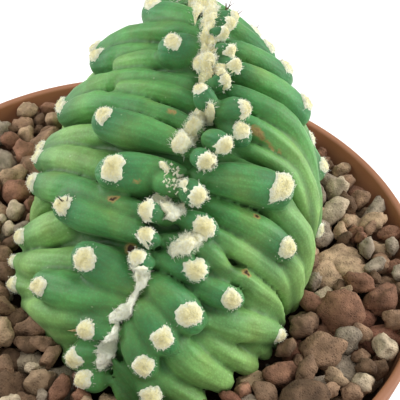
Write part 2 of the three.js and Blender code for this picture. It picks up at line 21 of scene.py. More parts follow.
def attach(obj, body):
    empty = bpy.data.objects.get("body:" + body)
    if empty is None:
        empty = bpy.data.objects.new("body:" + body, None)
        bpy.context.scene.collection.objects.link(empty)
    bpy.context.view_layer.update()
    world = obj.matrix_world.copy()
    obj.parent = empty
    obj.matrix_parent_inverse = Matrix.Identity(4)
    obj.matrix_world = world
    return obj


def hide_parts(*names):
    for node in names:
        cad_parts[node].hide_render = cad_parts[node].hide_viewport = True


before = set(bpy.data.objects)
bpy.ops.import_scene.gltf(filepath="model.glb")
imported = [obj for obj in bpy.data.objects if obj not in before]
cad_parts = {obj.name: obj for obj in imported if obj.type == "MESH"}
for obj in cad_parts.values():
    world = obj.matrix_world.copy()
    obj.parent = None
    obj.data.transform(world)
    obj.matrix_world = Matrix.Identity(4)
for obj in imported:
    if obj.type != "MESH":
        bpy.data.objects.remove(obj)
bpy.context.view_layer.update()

log = logging.getLogger("potted_crested_cactus")

MM = 0.001
BODY = "root"
POT_HEIGHT = 112.0
RIM_RADIUS = 65.0
GRAVEL_TOP = 105.0
OUTSIDE = 1e3  # millimetres, farther than any shape reaches
HASH = (73856093, 19349663, 83492791, 2654435761, 1274126177)  # factors that scatter bits
WORD = 0xFFFFFFFF  # the largest number of 32 bits
FELT_RISE = 1.3
FELT_DIP = 0.3

Ribs = list[list[list[float]]]
Socket = bpy.types.NodeSocket
Random = np.random.Generator
Hit = tuple[np.ndarray, np.ndarray] | None


# Helpers


def linear(code: str) -> tuple[float, float, float, float]:
    """Turns an sRGB hex colour to the linear RGBA that shaders take.

    Args:
        code: the colour as "#rrggbb".

    Returns:
        Red, green, blue and an alpha of 1.
    """
    shares = [int(code[i : i + 2], 16) / 255 for i in (1, 3, 5)]
    red, green, blue = (s / 12.92 if s <= 0.04045 else ((s + 0.055) / 1.055) ** 2.4 for s in shares)
    return (red, green, blue, 1.0)


def repeats(size: float) -> float:
    """A texture scale, per metre, whose pattern has features of a size in millimetres."""
    return 1 / (size * MM)


def add_node(tree: bpy.types.NodeTree, kind: str, inputs: dict, **settings: object) -> bpy.types.Node:
    """Adds a shader node, with its settings and links.

    Args:
        tree: the material's node tree.
        kind: the node's type, without "ShaderNode".
        inputs: for each input, by name or number, a value or the socket that feeds it.
        **settings: the node's own properties, such as its operation.

    Returns:
        The new node.
    """
    node = tree.nodes.new("ShaderNode" + kind)
    for name, value in settings.items():
        setattr(node, name, value)
    for name, value in inputs.items():
        if isinstance(value, Socket):
            tree.links.new(value, node.inputs[name])
        else:
            node.inputs[name].default_value = value
    return node


class Shading:
    """A material in the making, with the steps that the finishes share."""

    def __init__(self, name: str) -> None:
        """Starts a material that holds just a shader and its output."""
        self.material = bpy.data.materials.new(name)
        self.material.use_nodes = True
        self.tree = self.material.node_tree
        self.place = self.add("TexCoord", {}).outputs["Object"]

    def add(self, kind: str, inputs: dict, **settings: object) -> bpy.types.Node:
        """Adds a node to this material."""
        return add_node(self.tree, kind, inputs, **settings)

    def stored(self, name: str, output: str = "Fac") -> Socket:
        """The values that the mesh holds under a name."""
        return self.add("Attribute", {}, attribute_name=name).outputs[output]

    def noise(self, size: float, detail: float) -> Socket:
        """Clouds of a size in millimetres."""
        inputs = {"Vector": self.place, "Scale": repeats(size), "Detail": detail}
        return self.add("TexNoise", inputs).outputs["Fac"]

    def drawn(self, grain: Socket, width: float, length: float, detail: float) -> Socket:
        """Streaks of a width and length in millimetres that follow a stored grain."""
        stretch = self.times(grain, (1 / width, 1 / length, 1.0))
        return self.add("TexNoise", {"Vector": stretch, "Scale": 1.0, "Detail": detail}).outputs["Fac"]

    def cells(self, size: float) -> Socket:
        """How far places lie from the middles of cells, whose size is in millimetres."""
        return self.add("TexVoronoi", {"Vector": self.place, "Scale": repeats(size)}).outputs["Distance"]

    def spread(self, value: Socket, low: float, high: float, first: float, last: float) -> Socket:
        """Maps the values from low to high to those from first to last, and holds them there."""
        return self.add("MapRange", {"Value": value, 1: low, 2: high, 3: first, 4: last}).outputs[0]

    def maths(self, operation: str, *values: Socket | float) -> Socket:
        """One operation on numbers."""
        return self.add("Math", dict(enumerate(values)), operation=operation).outputs[0]

    def times(self, vector: Socket, factor: Socket | tuple) -> Socket:
        """A colour or a place, multiplied."""
        return self.add("VectorMath", {0: vector, 1: factor}, operation="MULTIPLY").outputs[0]

    def mixed(self, share: Socket, first: Socket | tuple, code: str) -> Socket:
        """Mixes a hex colour into another one by a share."""
        return self.add("Mix", {0: share, 6: first, 7: linear(code)}, data_type="RGBA").outputs[2]

    def ramp(self, value: Socket, stops: tuple) -> Socket:
        """Maps a value to colours.

        Args:
            value: the value.
            stops: positions from 0 to 1, each with a hex colour.

        Returns:
            The colour.
        """
        node = self.add("ValToRGB", {"Fac": value})
        elements = node.color_ramp.elements
        while len(elements) < len(stops):
            elements.new(0.5)
        for element, (position, code) in zip(elements, stops):
            element.position, element.color = position, linear(code)
        return node.outputs["Color"]

    def bump(self, height: Socket, strength: Socket | float, depth: float, **more: object) -> Socket:
        """Adds relief.

        Args:
            height: the relief's height, from 0 to 1.
            strength: how strongly it shows.
            depth: its depth in millimetres.
            more: the relief under it, as under, and settings of the node.

        Returns:
            The normal.
        """
        under = {"Normal": more.pop("under")} if "under" in more else {}
        inputs = {"Height": height, "Strength": strength, "Distance": depth * MM, **under}
        return self.add("Bump", inputs, **more).outputs["Normal"]

    def finished(self, settings: dict) -> bpy.types.Material:
        """Feeds the shader's inputs and closes the material.

        Args:
            settings: for each input of the shader, by name, a value or the socket that feeds it.

        Returns:
            The material.
        """
        shader = self.tree.nodes["Principled BSDF"]
        for name, value in settings.items():
            if isinstance(value, Socket):
                self.tree.links.new(value, shader.inputs[name])
            else:
                shader.inputs[name].default_value = value
        return self.material


def ring_faces(first: int, rings: int, sides: int) -> np.ndarray:
    """The four-sided faces between closed rings of corners.

    Args:
        first: the first corner's number.
        rings: how many rings there are.
        sides: how many corners each has.

    Returns:
        Four corner numbers for each face.
    """
    low = first + sides * np.repeat(np.arange(rings - 1), sides)
    k = np.tile(np.arange(sides), rings - 1)
    j = (k + 1) % sides
    return np.stack([low + k, low + j, low + sides + j, low + sides + k], -1)


def halved(faces: np.ndarray) -> np.ndarray:
    """Four-sided faces as triangles, parted from each face's first corner to its third."""
    return faces[:, [[0, 1, 2], [0, 2, 3]]].reshape(-1, 3)


def fan(middle: int, first: int, sides: int) -> np.ndarray:
    """The triangles between one corner and a closed ring."""
    k = np.arange(sides)
    return np.stack([np.full(sides, middle), first + k, first + (k + 1) % sides], -1)


def add_object(name: str, data: bpy.types.ID) -> bpy.types.Object:
    """Adds an object to the scene.

    Args:
        name: its name.
        data: what it shows.

    Returns:
        The object.
    """
    made = bpy.data.objects.new(name, data)
    bpy.context.scene.collection.objects.link(made)
    return made


def joined(parts: list[tuple]) -> list[np.ndarray]:
    """Joins shapes into one.

    Args:
        parts: for each shape its points, its faces, and any values that its points hold.

    Returns:
        The same of all the shapes together.
    """
    starts = np.cumsum([0] + [len(part[0]) for part in parts])
    moved = [(part[0], part[1] + start, *part[2:]) for part, start in zip(parts, starts)]
    return [np.concatenate(column) for column in zip(*moved)]


def painted(shape: tuple, code: str, light: float = 1.0) -> tuple:
    """A shape's points and faces, and for each point a hex colour, made lighter or darker."""
    return *shape, np.tile(np.array(linear(code)[:3]) * light, (len(shape[0]), 1))


def make_piece(
    name: str, points: np.ndarray, faces: np.ndarray | list, slot: str, **values: np.ndarray
) -> bpy.types.Object:
    """Makes a smooth-shaded mesh object that rides on the plant's one body.

    Args:
        name: the piece's name.
        points: corners in millimetres.
        faces: corner numbers of each face.
        slot: the name of a material slot; not used.
        **values: numbers or vectors for its corners, by the names that its material reads.

    Returns:
        The object.
    """
    mesh = bpy.data.meshes.new(name)
    faces = faces.tolist() if isinstance(faces, np.ndarray) else faces
    mesh.from_pydata((np.asarray(points) * MM).tolist(), [], faces)
    mesh.polygons.foreach_set("use_smooth", np.ones(len(mesh.polygons), bool))
    mesh.update()
    piece = add_object(name, mesh)
    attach(piece, BODY)
    for key, column in values.items():
        give_values(piece, key, column)
    return piece


def give_values(piece: bpy.types.Object, name: str, values: np.ndarray) -> None:
    """Stores a number or a vector for each corner of a piece's mesh, for its material.

    Args:
        piece: the object.
        name: the name that the material reads.
        values: one number or one vector of three for each corner.
    """
    kind, key = ("FLOAT", "value") if values.ndim == 1 else ("FLOAT_VECTOR", "vector")
    attribute = piece.data.attributes.new(name, kind, "POINT")
    attribute.data.foreach_set(key, values.astype(np.float32).ravel())


def unit(vectors: np.ndarray) -> np.ndarray:
    """The same directions with length 1."""
    return vectors / np.maximum(np.linalg.norm(vectors, axis=-1, keepdims=True), 1e-9)


def looked_up(values: np.ndarray | float, table: tuple) -> np.ndarray:
    """Looks values up in a table of pairs, evenly between its rows."""
    return np.interp(values, *zip(*table))


def run_of(points: np.ndarray) -> np.ndarray:
    """How far along a line each of its points lies."""
    return np.concatenate([[0], np.cumsum(np.linalg.norm(np.diff(points, axis=0), axis=1))])


def felt_dome(share: np.ndarray | float, power: int) -> np.ndarray:
    """The height of felt at shares of the way to its edge, which dips into the skin."""
    return np.sqrt(np.maximum(1 - share**power, 0)) * FELT_RISE - FELT_DIP


def cubic(a: np.ndarray, b: np.ndarray, c: np.ndarray, d: np.ndarray, t: np.ndarray) -> np.ndarray:
    """A smooth curve from b to c, at shares t of the way, whose neighbours are a and d."""
    return b + 0.5 * t * (c - a + t * (2 * a - 5 * b + 4 * c - d + t * (3 * b - a - 3 * c + d)))


def lumps(places: np.ndarray, size: float, seed: int) -> np.ndarray:
    """Smooth random lumps in space.

    Args:
        places: points in millimetres.
        size: the distance between lumps.
        seed: which pattern to draw.

    Returns:
        A value from -1 to 1 for each point.
    """
    scaled = places / size + seed * 17.31
    cell = np.floor(scaled).astype(np.int64)
    part = scaled - cell
    part = part * part * (3 - 2 * part)
    total = np.zeros(places.shape[:-1])
    for corner in range(8):
        step = np.array([corner & 1, corner >> 1 & 1, corner >> 2])
        x, y, z = np.moveaxis(cell + step, -1, 0)
        mixed = (x * HASH[0] ^ y * HASH[1] ^ z * HASH[2] ^ seed * HASH[3]) & 0x7FFFFFFF
        mixed = (mixed ^ (mixed >> 13)) * HASH[4] & 0x7FFFFFFF
        value = (mixed ^ (mixed >> 16)) % 65536 / 32768 - 1
        total += value * np.prod(np.where(step, part, 1 - part), axis=-1)
    return total


@dataclass
class Lens:
    """The camera's place, direction and angle, which also finds what a pixel shows."""

    eye: tuple = (11.7, -122.85, 236.8)
    pitch: float = 42.6
    roll: float = 5.1
    field_of_view: float = 30.0
    picture: int = 400

    def axes(self) -> tuple[Vector, Vector, Vector]:
        """The directions that the camera goes by.

        Returns:
            Its right, up and forward.
        """
        pitch, roll = math.radians(self.pitch), math.radians(self.roll)
        ahead = Vector((0, math.cos(pitch), -math.sin(pitch)))
        level = Vector((1, 0, 0))
        high = level.cross(ahead)
        right = level * math.cos(roll) + high * math.sin(roll)
        up = high * math.cos(roll) - level * math.sin(roll)
        return right, up, ahead

    def ray(self, column: float, row: float) -> Vector:
        """The direction from the camera through a pixel of its picture.

        Args:
            column: the pixel's column.
            row: the pixel's row.

        Returns:
            The direction, of length one.
        """
        right, up, ahead = self.axes()
        half = math.tan(math.radians(self.field_of_view / 2))
        x = (column / self.picture * 2 - 1) * half
        y = (1 - row / self.picture * 2) * half
        return (ahead + right * x + up * y).normalized()


# The plant's surface


class Side(Enum):
    """The two flanks, seen from the front end of the crest."""

    LEFT = "left"
    RIGHT = "right"


@dataclass
class Flanks:
    """The smooth surface under the ribs: two flanks that hang from the crest line."""

    crest: tuple = (
        (-6, -43, 2), (-3, -40, 9.5), (1, -35, 17.5), (2.5, -27, 23), (5.5, -20, 29), (11, -10, 36),
        (12.5, 2, 42), (10, 15, 48), (7.5, 28, 47), (5.5, 38, 46), (5, 45, 33), (4.5, 48, 16.5),
    )
    heart: tuple = (5.5, 4.0, -4.0)
    foot_radii: tuple = (30, 28, 37, 49, 52, 36, 33, 38.5, 42, 50, 42, 35)
    headings: dict = field(default_factory=lambda: {
        Side.LEFT: (
            (0, -112), (8, -128), (20, -150), (37, -176), (60, -203), (90, -232), (115, -252), (138, -268),
        ),
        Side.RIGHT: ((0, -95), (8, -80), (20, -62), (35, -45), (50, -30), (70, -14), (100, 28), (138, 88)),
    })
    curve_steps: int = 400
    normal_step: float = 0.5
    normal_share: float = 0.02

    def __post_init__(self) -> None:
        """Samples the crest curve evenly enough to find places by their distance along it."""
        self.centre = np.array(self.heart) + (0, 0, POT_HEIGHT)
        knots = np.array(self.crest, float) + (0, 0, POT_HEIGHT)
        knots = np.vstack([2 * knots[0] - knots[1], knots, 2 * knots[-1] - knots[-2]])
        turns = np.linspace(0, len(self.crest) - 1, self.curve_steps + 1)
        first = np.minimum(turns.astype(int), len(self.crest) - 2)
        t = (turns - first)[:, None]
        self.line = cubic(*(knots[first + k] for k in range(4)), t)
        self.distance = run_of(self.line)
        self.length = float(self.distance[-1])

    def on_crest(self, along: np.ndarray) -> np.ndarray:
        """Points on the crest line, by their distance from its front end."""
        return np.stack([np.interp(along, self.distance, self.line[:, k]) for k in range(3)], -1)

    def foot_radius(self, heading: np.ndarray) -> np.ndarray:
        """The plant's radius at the gravel.

        Args:
            heading: directions, in degrees from +X.

        Returns:
            The radius in each.
        """
        radii = np.array(self.foot_radii, float)
        turn = np.mod(heading, 360) / 360 * len(radii)
        first = np.floor(turn).astype(int)
        return cubic(*(radii[(first + k) % len(radii)] for k in (-1, 0, 1, 2)), turn - first)

    def point(self, side: Side, along: np.ndarray, share: np.ndarray) -> np.ndarray:
        """Places on a flank.

        Args:
            side: the flank.
            along: distances along the crest.
            share: shares of the way down to the gravel.

        Returns:
            One point for each place.
        """
        along, share = np.broadcast_arrays(np.asarray(along, float), np.asarray(share, float))
        top = self.on_crest(along) - self.centre
        heading = looked_up(along, self.headings[side])
        radius = self.foot_radius(heading)
        angle = np.radians(heading)
        foot = np.stack([radius * np.cos(angle), radius * np.sin(angle), np.zeros_like(radius)], -1)
        top_length = np.linalg.norm(top, axis=-1)
        foot_length = np.linalg.norm(foot, axis=-1)
        spread = np.arccos(np.clip((top * foot).sum(-1) / top_length / foot_length, -1, 1))
        length = top_length + (foot_length - top_length) * share
        down = np.sin((1 - share) * spread)[..., None] * unit(top)
        down = down + np.sin(share * spread)[..., None] * unit(foot)
        return down * (length / np.sin(spread))[..., None] + self.centre

    def normal(self, side: Side, along: np.ndarray, share: np.ndarray) -> np.ndarray:
        """Outward directions on a flank.

        Args:
            side: the flank.
            along: distances along the crest.
            share: shares of the way down to the gravel.

        Returns:
            One direction for each place.
        """
        along, share = np.broadcast_arrays(np.asarray(along, float), np.asarray(share, float))
        step, drop = self.normal_step, self.normal_share
        low = np.clip(along, step, self.length - step)
        down = np.maximum(share, drop)
        across = self.point(side, low + step, down) - self.point(side, low - step, down)
        descent = self.point(side, low, down + drop) - self.point(side, low, down - drop)
        normal = unit(np.cross(across, descent))
        outward = self.point(side, low, down) - self.centre
        return np.where((normal * outward).sum(-1, keepdims=True) < 0, -normal, normal)


# Ribs as chains of tubercles. A chain is a list of stops: millimetres along the crest, share of
# the way down, radius, then the width and length of the areole there, if it has one.
LEFT_RIBS: Ribs = [
    [[0.5, 0.06, 3], [0.3, 0.25, 4, 4], [2, 0.98, 4]],
    [[6, 0.04, 3], [5, 0.37, 4, 4.2], [6.5, 0.98, 4]],
    [[12, 0.03, 2.6], [13, 0.22, 3.4, 4], [10.4, 0.61, 4], [10.5, 1, 4]],
    [[16, 0.05, 3], [13.9, 0.71, 4.4], [14.5, 1, 4]],
    [[18.5, 0.04, 3.5], [22.5, 0.49, 5, 4.2], [20.9, 0.87, 4.6, 3.6], [21, 1.04, 4.2]],
    [[26.5, 0, 2.6], [27.4, 0.02, 3, 4.2]],
    [[21.5, 0.02, 3.6], [27.5, 0.23, 4.8, 5], [27.2, 0.65, 4.4], [26.6, 0.88, 4.2, 3], [27, 1.04, 4]],
    [[30.5, 0, 2.6], [32.2, 0.02, 3, 4.4], [38.1, 0.36, 4.7, 4.2], [33.3, 0.71, 4.8, 4], [33, 1.02, 4.2]],
    [[35.5, 0, 2.4], [36.7, 0.051, 3.2, 4.4], [45.2, 0.61, 4.2, 4], [40, 0.98, 4.2]],
    [[42, 0, 2.6], [43.6, 0.061, 3.6]],
    [[46.1, 0.03, 3.8], [44.6, 0.2, 5.1, 4.8, 6], [51.8, 0.65, 4.4, 3.6], [47, 0.95, 4.2]],
    [[50, 0.01, 2.6], [51.9, 0.08, 3.4], [54.1, 0.29, 4.4, 4], [54.5, 0.67, 4.2, 3.6], [52, 1, 4]],
    [[56.2, 0.031, 3], [61.5, 0.57, 4, 3.6], [59, 0.95, 4]],
    [[60.5, 0, 2.6], [62.1, 0.035, 3.6, 3.6]],
    [[62, 0.062, 3], [62, 0.31, 3.2]],
    [[65.2, 0.081, 3.4], [65.3, 0.62, 4.4, 3.4], [65, 0.95, 4]],
    [[69, 0, 3], [68.1, 0.04, 3.8, 4.4]],
    [[69.8, 0.095, 3], [69.5, 0.35, 3.6]],
    [[74.9, 0.02, 3.6], [71.7, 0.12, 5, 4.4], [74, 0.45, 4.2, 4], [74, 0.9, 4]],
    [[78.8, 0.02, 3], [80, 0.5, 4.2, 3.6], [81, 0.95, 4]],
    [[84.4, 0.02, 3.4], [86.5, 0.22, 4.8, 4], [89, 0.62, 4.4, 3.6], [90, 1, 4]],
]
RIGHT_RIBS: Ribs = [
    [[2.6, 0.08, 2.2], [1.6, 0.35, 2.9], [0.8, 0.7, 3.2], [0.2, 1, 3.6]],
    [[4.2, 0.08, 2.2], [3.2, 0.35, 2.8], [2.4, 0.7, 3.2], [1.8, 1, 3.6]],
    [[4.9, 0.08, 2.2], [4.6, 0.35, 2.8], [4, 0.7, 3.2], [3.6, 1, 3.6]],
    [[5.8, 0.08, 2.2], [6.1, 0.35, 2.8], [5.7, 0.7, 3.2], [5.4, 1, 3.6]],
    [[8.6, 0.12, 2.4], [8, 0.35, 3], [6.8, 0.6, 3.8, 4.2], [6.5, 0.98, 3.6]],
    [[14.2, 0.05, 2.8], [12.6, 0.2, 3.8], [10.9, 0.31, 4.2, 4.2], [10, 0.58, 3.6], [10, 0.95, 4]],
    [[20, 0.06, 3], [18.6, 0.17, 4.2], [17.3, 0.26, 4.6, 4.4], [16.2, 0.56, 5], [16.2, 0.9, 4.4]],
    [[21, 0.42, 2.4], [22.3, 0.62, 3.6], [22, 0.97, 4.2]],
    [
        [26, 0.07, 3.2], [25, 0.2, 4.6], [24.3, 0.32, 5, 5.2], [28.5, 0.62, 4.8], [33.2, 0.88, 4.6, 3.2],
        [33, 1.04, 4],
    ],
    [[27, 0.72, 3], [28, 0.85, 3.6], [28, 1, 3.8]],
    [[28, 0.12, 3], [32.6, 0.47, 4.2, 4.2]],
    [[28.5, 0.04, 2.8], [32.3, 0.25, 3.6, 4.6], [38, 0.5, 3.3], [40.1, 0.79, 3.1], [39, 1.02, 3]],
    [[34.5, 0.45, 1.8], [36.4, 0.75, 2.6], [36.2, 1.01, 2.8]],
    [[35.5, 0.1, 2.8], [36.6, 0.25, 3.2], [37.6, 0.42, 2.4]],
    [[33, 0.07, 3], [34.7, 0.15, 3.2, 3.6, 3.8]],
    [[38, 0.05, 2.6], [39.6, 0.18, 3.3, 4.6], [43.1, 0.47, 3.1], [46.6, 0.78, 3.4], [45, 1.02, 3]],
    [[35.5, 0, 2.4], [37, 0.035, 2.8]],
    [[43.5, 0.02, 2.6], [43, 0.094, 3.2, 4.6]],
    [[44, 0.12, 3.6], [49.3, 0.52, 4.5, 4.4], [50.6, 0.75, 4.8], [49, 1.02, 4.4]],
    [[50.5, 0, 2.4], [49, 0.048, 2.9, 4.4]],
    [[47.5, 0.06, 4], [56.9, 0.34, 5.2, 4.8, 7.6], [59, 0.65, 5], [56, 1, 4.4]],
    [[55, 0.02, 2.4], [54.1, 0.082, 3.4, 4.2]],
    [[55.6, 0.13, 2.4], [59, 0.34, 2.6], [62.5, 0.67, 2.6]],
    [[60.5, 0.038, 2.4], [59.9, 0.12, 3.2, 4.2]],
    [[60.2, 0.15, 2.8], [65.3, 0.43, 3.1], [67.5, 0.73, 3.2], [64, 1, 3.3]],
    [[61, 0.01, 3], [63.6, 0.11, 3.8, 4.2], [68.8, 0.37, 3.5], [70.5, 0.65, 4.3], [69, 0.95, 4]],
    [[67, 0, 2.6], [66.8, 0.035, 3.1, 3.6]],
    [[69.3, 0.095, 3.8], [72.8, 0.3, 4.3], [75, 0.57, 3.8], [73.5, 0.8, 4, 3.6], [73, 1.03, 3.6]],
    [[72, 0.01, 2.4], [71.5, 0.068, 3, 3.6]],
    [[75.4, 0.1, 3.6], [81, 0.37, 4.6, 4], [78.7, 0.58, 4.4, 3.6], [80, 0.95, 4.2]],
    [[74.8, 0, 2.2], [74.2, 0.056, 2.6, 3.4]],
    [[78, 0.01, 2.2], [77.6, 0.04, 2.6, 3.4]],
    [[81.6, 0.01, 2.2], [81.3, 0.06, 2.6, 3.4]],
    [[85.4, 0.01, 2.4], [85.6, 0.08, 2.8, 3.6]],
    [[83.5, 0.11, 3.4], [86.5, 0.29, 4.6, 4], [89, 0.58, 4.4, 3.6], [88, 0.95, 4]],
]


def mixed_bits(seed: int) -> float:
    """A number from 0 to 1 that is drawn by the seed's bits, as the CAD source draws it.

    Args:
        seed: the draw's state.

    Returns:
        The number.
    """
    t = (seed ^ (seed >> 15)) * (1 | seed) & WORD
    t = (t + (t ^ (t >> 7)) * (61 | t) & WORD) ^ t
    return (t ^ (t >> 14)) / (WORD + 1)


@dataclass
class FarRibs:
    """The ribs of the far end, which follow an even rule."""

    start: float = 95
    step: float = 8.5
    stops: tuple = ((0.03, 3, 0), (0.26, 4.6, 4), (0.58, 4.5, 3.8), (0.98, 4.1, 0))
    jitter: float = 1.6
    seed: int = 1
    seed_step: int = 0x6D2B79F5

    def ribs(self, length: float) -> Ribs:
        """The chains between the start and the crest's far end.

        Args:
            length: the crest's length.

        Returns:
            Chains of stops.
        """
        chains, state, along = [], self.seed, self.start
        while along < length:
            chain = []
            for share, radius, width in self.stops:
                state = (state + self.seed_step) & WORD
                shift = (mixed_bits(state) - 0.5) * self.jitter
                chain.append([min(along + shift, length), share, radius] + ([width] if width else []))
            chains.append(chain)
            along += self.step
        return chains


# Stem


@dataclass
class Grid:
    """A box of sample points in which a closed surface is found."""

    low: tuple
    high: tuple
    step: float

    def __post_init__(self) -> None:
        """Lays out the sample points and a field that is outside everywhere."""
        self.axes = [np.arange(a, b + self.step, self.step) for a, b in zip(self.low, self.high)]
        self.values = np.full([len(axis) for axis in self.axes], OUTSIDE, np.float32)

    def window(self, low: np.ndarray, high: np.ndarray) -> tuple[tuple, np.ndarray]:
        """The sample points in a smaller box.

        Args:
            low: the box's lowest corner.
            high: its highest corner.

        Returns:
            The slices of the field, and the points there.
        """
        cut = tuple(
            slice(*np.clip(np.searchsorted(axis, (a, b)), 0, len(axis)))
            for axis, a, b in zip(self.axes, low, high)
        )
        grid = np.meshgrid(*(axis[part] for axis, part in zip(self.axes, cut)), indexing="ij")
        return cut, np.stack(grid, -1)

    def surface(self) -> tuple[np.ndarray, np.ndarray]:
        """The surface where the field is 0, with one point in each cell that it crosses.

        Returns:
            The points and the four-sided faces, which face outward.
        """
        values = self.values
        inside = values < 0
        cells = tuple(n - 1 for n in values.shape)
        total = np.zeros(cells + (3,))
        count = np.zeros(cells)
        edges = []
        for axis in range(3):
            spots = np.argwhere(np.diff(inside, axis=axis))
            sideways = [(axis + 1) % 3, (axis + 2) % 3]
            steps = spots[:, sideways]
            spots = spots[np.all((steps > 0) & (steps < np.array(cells)[sideways]), axis=1)]
            ends = spots.copy()
            ends[:, axis] += 1
            f0, f1 = values[tuple(spots.T)], values[tuple(ends.T)]
            place = spots.astype(float)
            place[:, axis] += f0 / (f0 - f1)
            around = []
            for back in ((1, 1), (0, 1), (0, 0), (1, 0)):
                cell = spots.copy()
                cell[:, sideways] -= back
                np.add.at(total, tuple(cell.T), place)
                np.add.at(count, tuple(cell.T), 1)
                around.append(cell)
            edges.append((around, f0 < 0))
        number = np.full(cells, -1)
        used = count > 0
        number[used] = np.arange(used.sum())
        points = total[used] / count[used][:, None] * self.step + np.array(self.low)
        faces = []
        for around, outward in edges:
            quads = np.stack([number[tuple(cell.T)] for cell in around], -1)
            quads[~outward] = quads[~outward][:, ::-1]
            faces.append(quads)
        return points, np.concatenate(faces)


def blended(a: np.ndarray, b: np.ndarray, width: float) -> np.ndarray:
    """The lesser of two fields, rounded off where they meet.

    Args:
        a: one field.
        b: the other.
        width: how far apart they may be and still be rounded off.

    Returns:
        The joined field.
    """
    near = np.maximum(width - np.abs(a - b), 0) / width
    return np.minimum(a, b) - near * near * width / 4


def parted(a: np.ndarray, b: np.ndarray, depth: float, width: float, rounding: float) -> np.ndarray:
    """The lesser of two fields, with a groove where they meet.

    Args:
        a: one field.
        b: the other.
        depth: how deep the groove is.
        width: how far from equal the fields still are in the groove.
        rounding: how far from equal they still are in its rounded bottom.

    Returns:
        The joined field.
    """
    near = np.clip(1 - ((a - b) / width) ** 2, 0, 1)
    return blended(a, b, rounding) + depth * near * near


@dataclass
class Tubercle:
    """A fleshy finger of a rib: a bent, swelling rod that ends bluntly under its areole."""

    rib: int
    points: np.ndarray
    radii: np.ndarray
    ups: np.ndarray
    ages: np.ndarray
    start: float
    breadth: float = 0.95
    squareness: float = 0.2

    def box(self, reach: float) -> tuple[np.ndarray, np.ndarray]:
        """The lowest and highest corner of the box that holds it, with a reach round it."""
        around = self.radii.max() * self.breadth + reach
        return self.points.min(0) - around, self.points.max(0) + around

    def measure(self, places: np.ndarray) -> tuple[np.ndarray, np.ndarray, np.ndarray]:
        """Where places lie from the finger.

        Args:
            places: points in millimetres.

        Returns:
            Distance outside its surface, distance along the rib, and distance round it from
            its top.
        """
        best = np.full(places.shape[:-1], 1e9)
        along = np.zeros_like(best)
        round_it = np.zeros_like(best)
        gone = self.start
        for i in range(len(self.points) - 1):
            axis = self.points[i + 1] - self.points[i]
            length = float(np.linalg.norm(axis))
            offset = places - self.points[i]
            t = np.clip(offset @ axis / length**2, 0, 1)
            radius = self.radii[i] + (self.radii[i + 1] - self.radii[i]) * t
            out = offset - t[..., None] * axis
            ahead = axis / length
            across = np.cross(ahead, self.ups[i])
            across /= np.linalg.norm(across)
            over = np.cross(across, ahead)
            wide, tall, long = out @ across, out @ over, out @ ahead
            wide /= self.breadth
            wide2, tall2 = wide * wide, tall * tall
            boxy = np.sqrt(wide2 * wide2 + tall2 * tall2)
            section = (1 - self.squareness) * (wide2 + tall2) + self.squareness * boxy
            reach = np.sqrt(section + long * long)
            distance = reach - radius
            turn = np.arctan2(wide, tall)
            nearer = distance < best
            best = np.where(nearer, distance, best)
            along = np.where(nearer, gone + t * length, along)
            round_it = np.where(nearer, turn * radius, round_it)
            gone += length
        return best, along, round_it


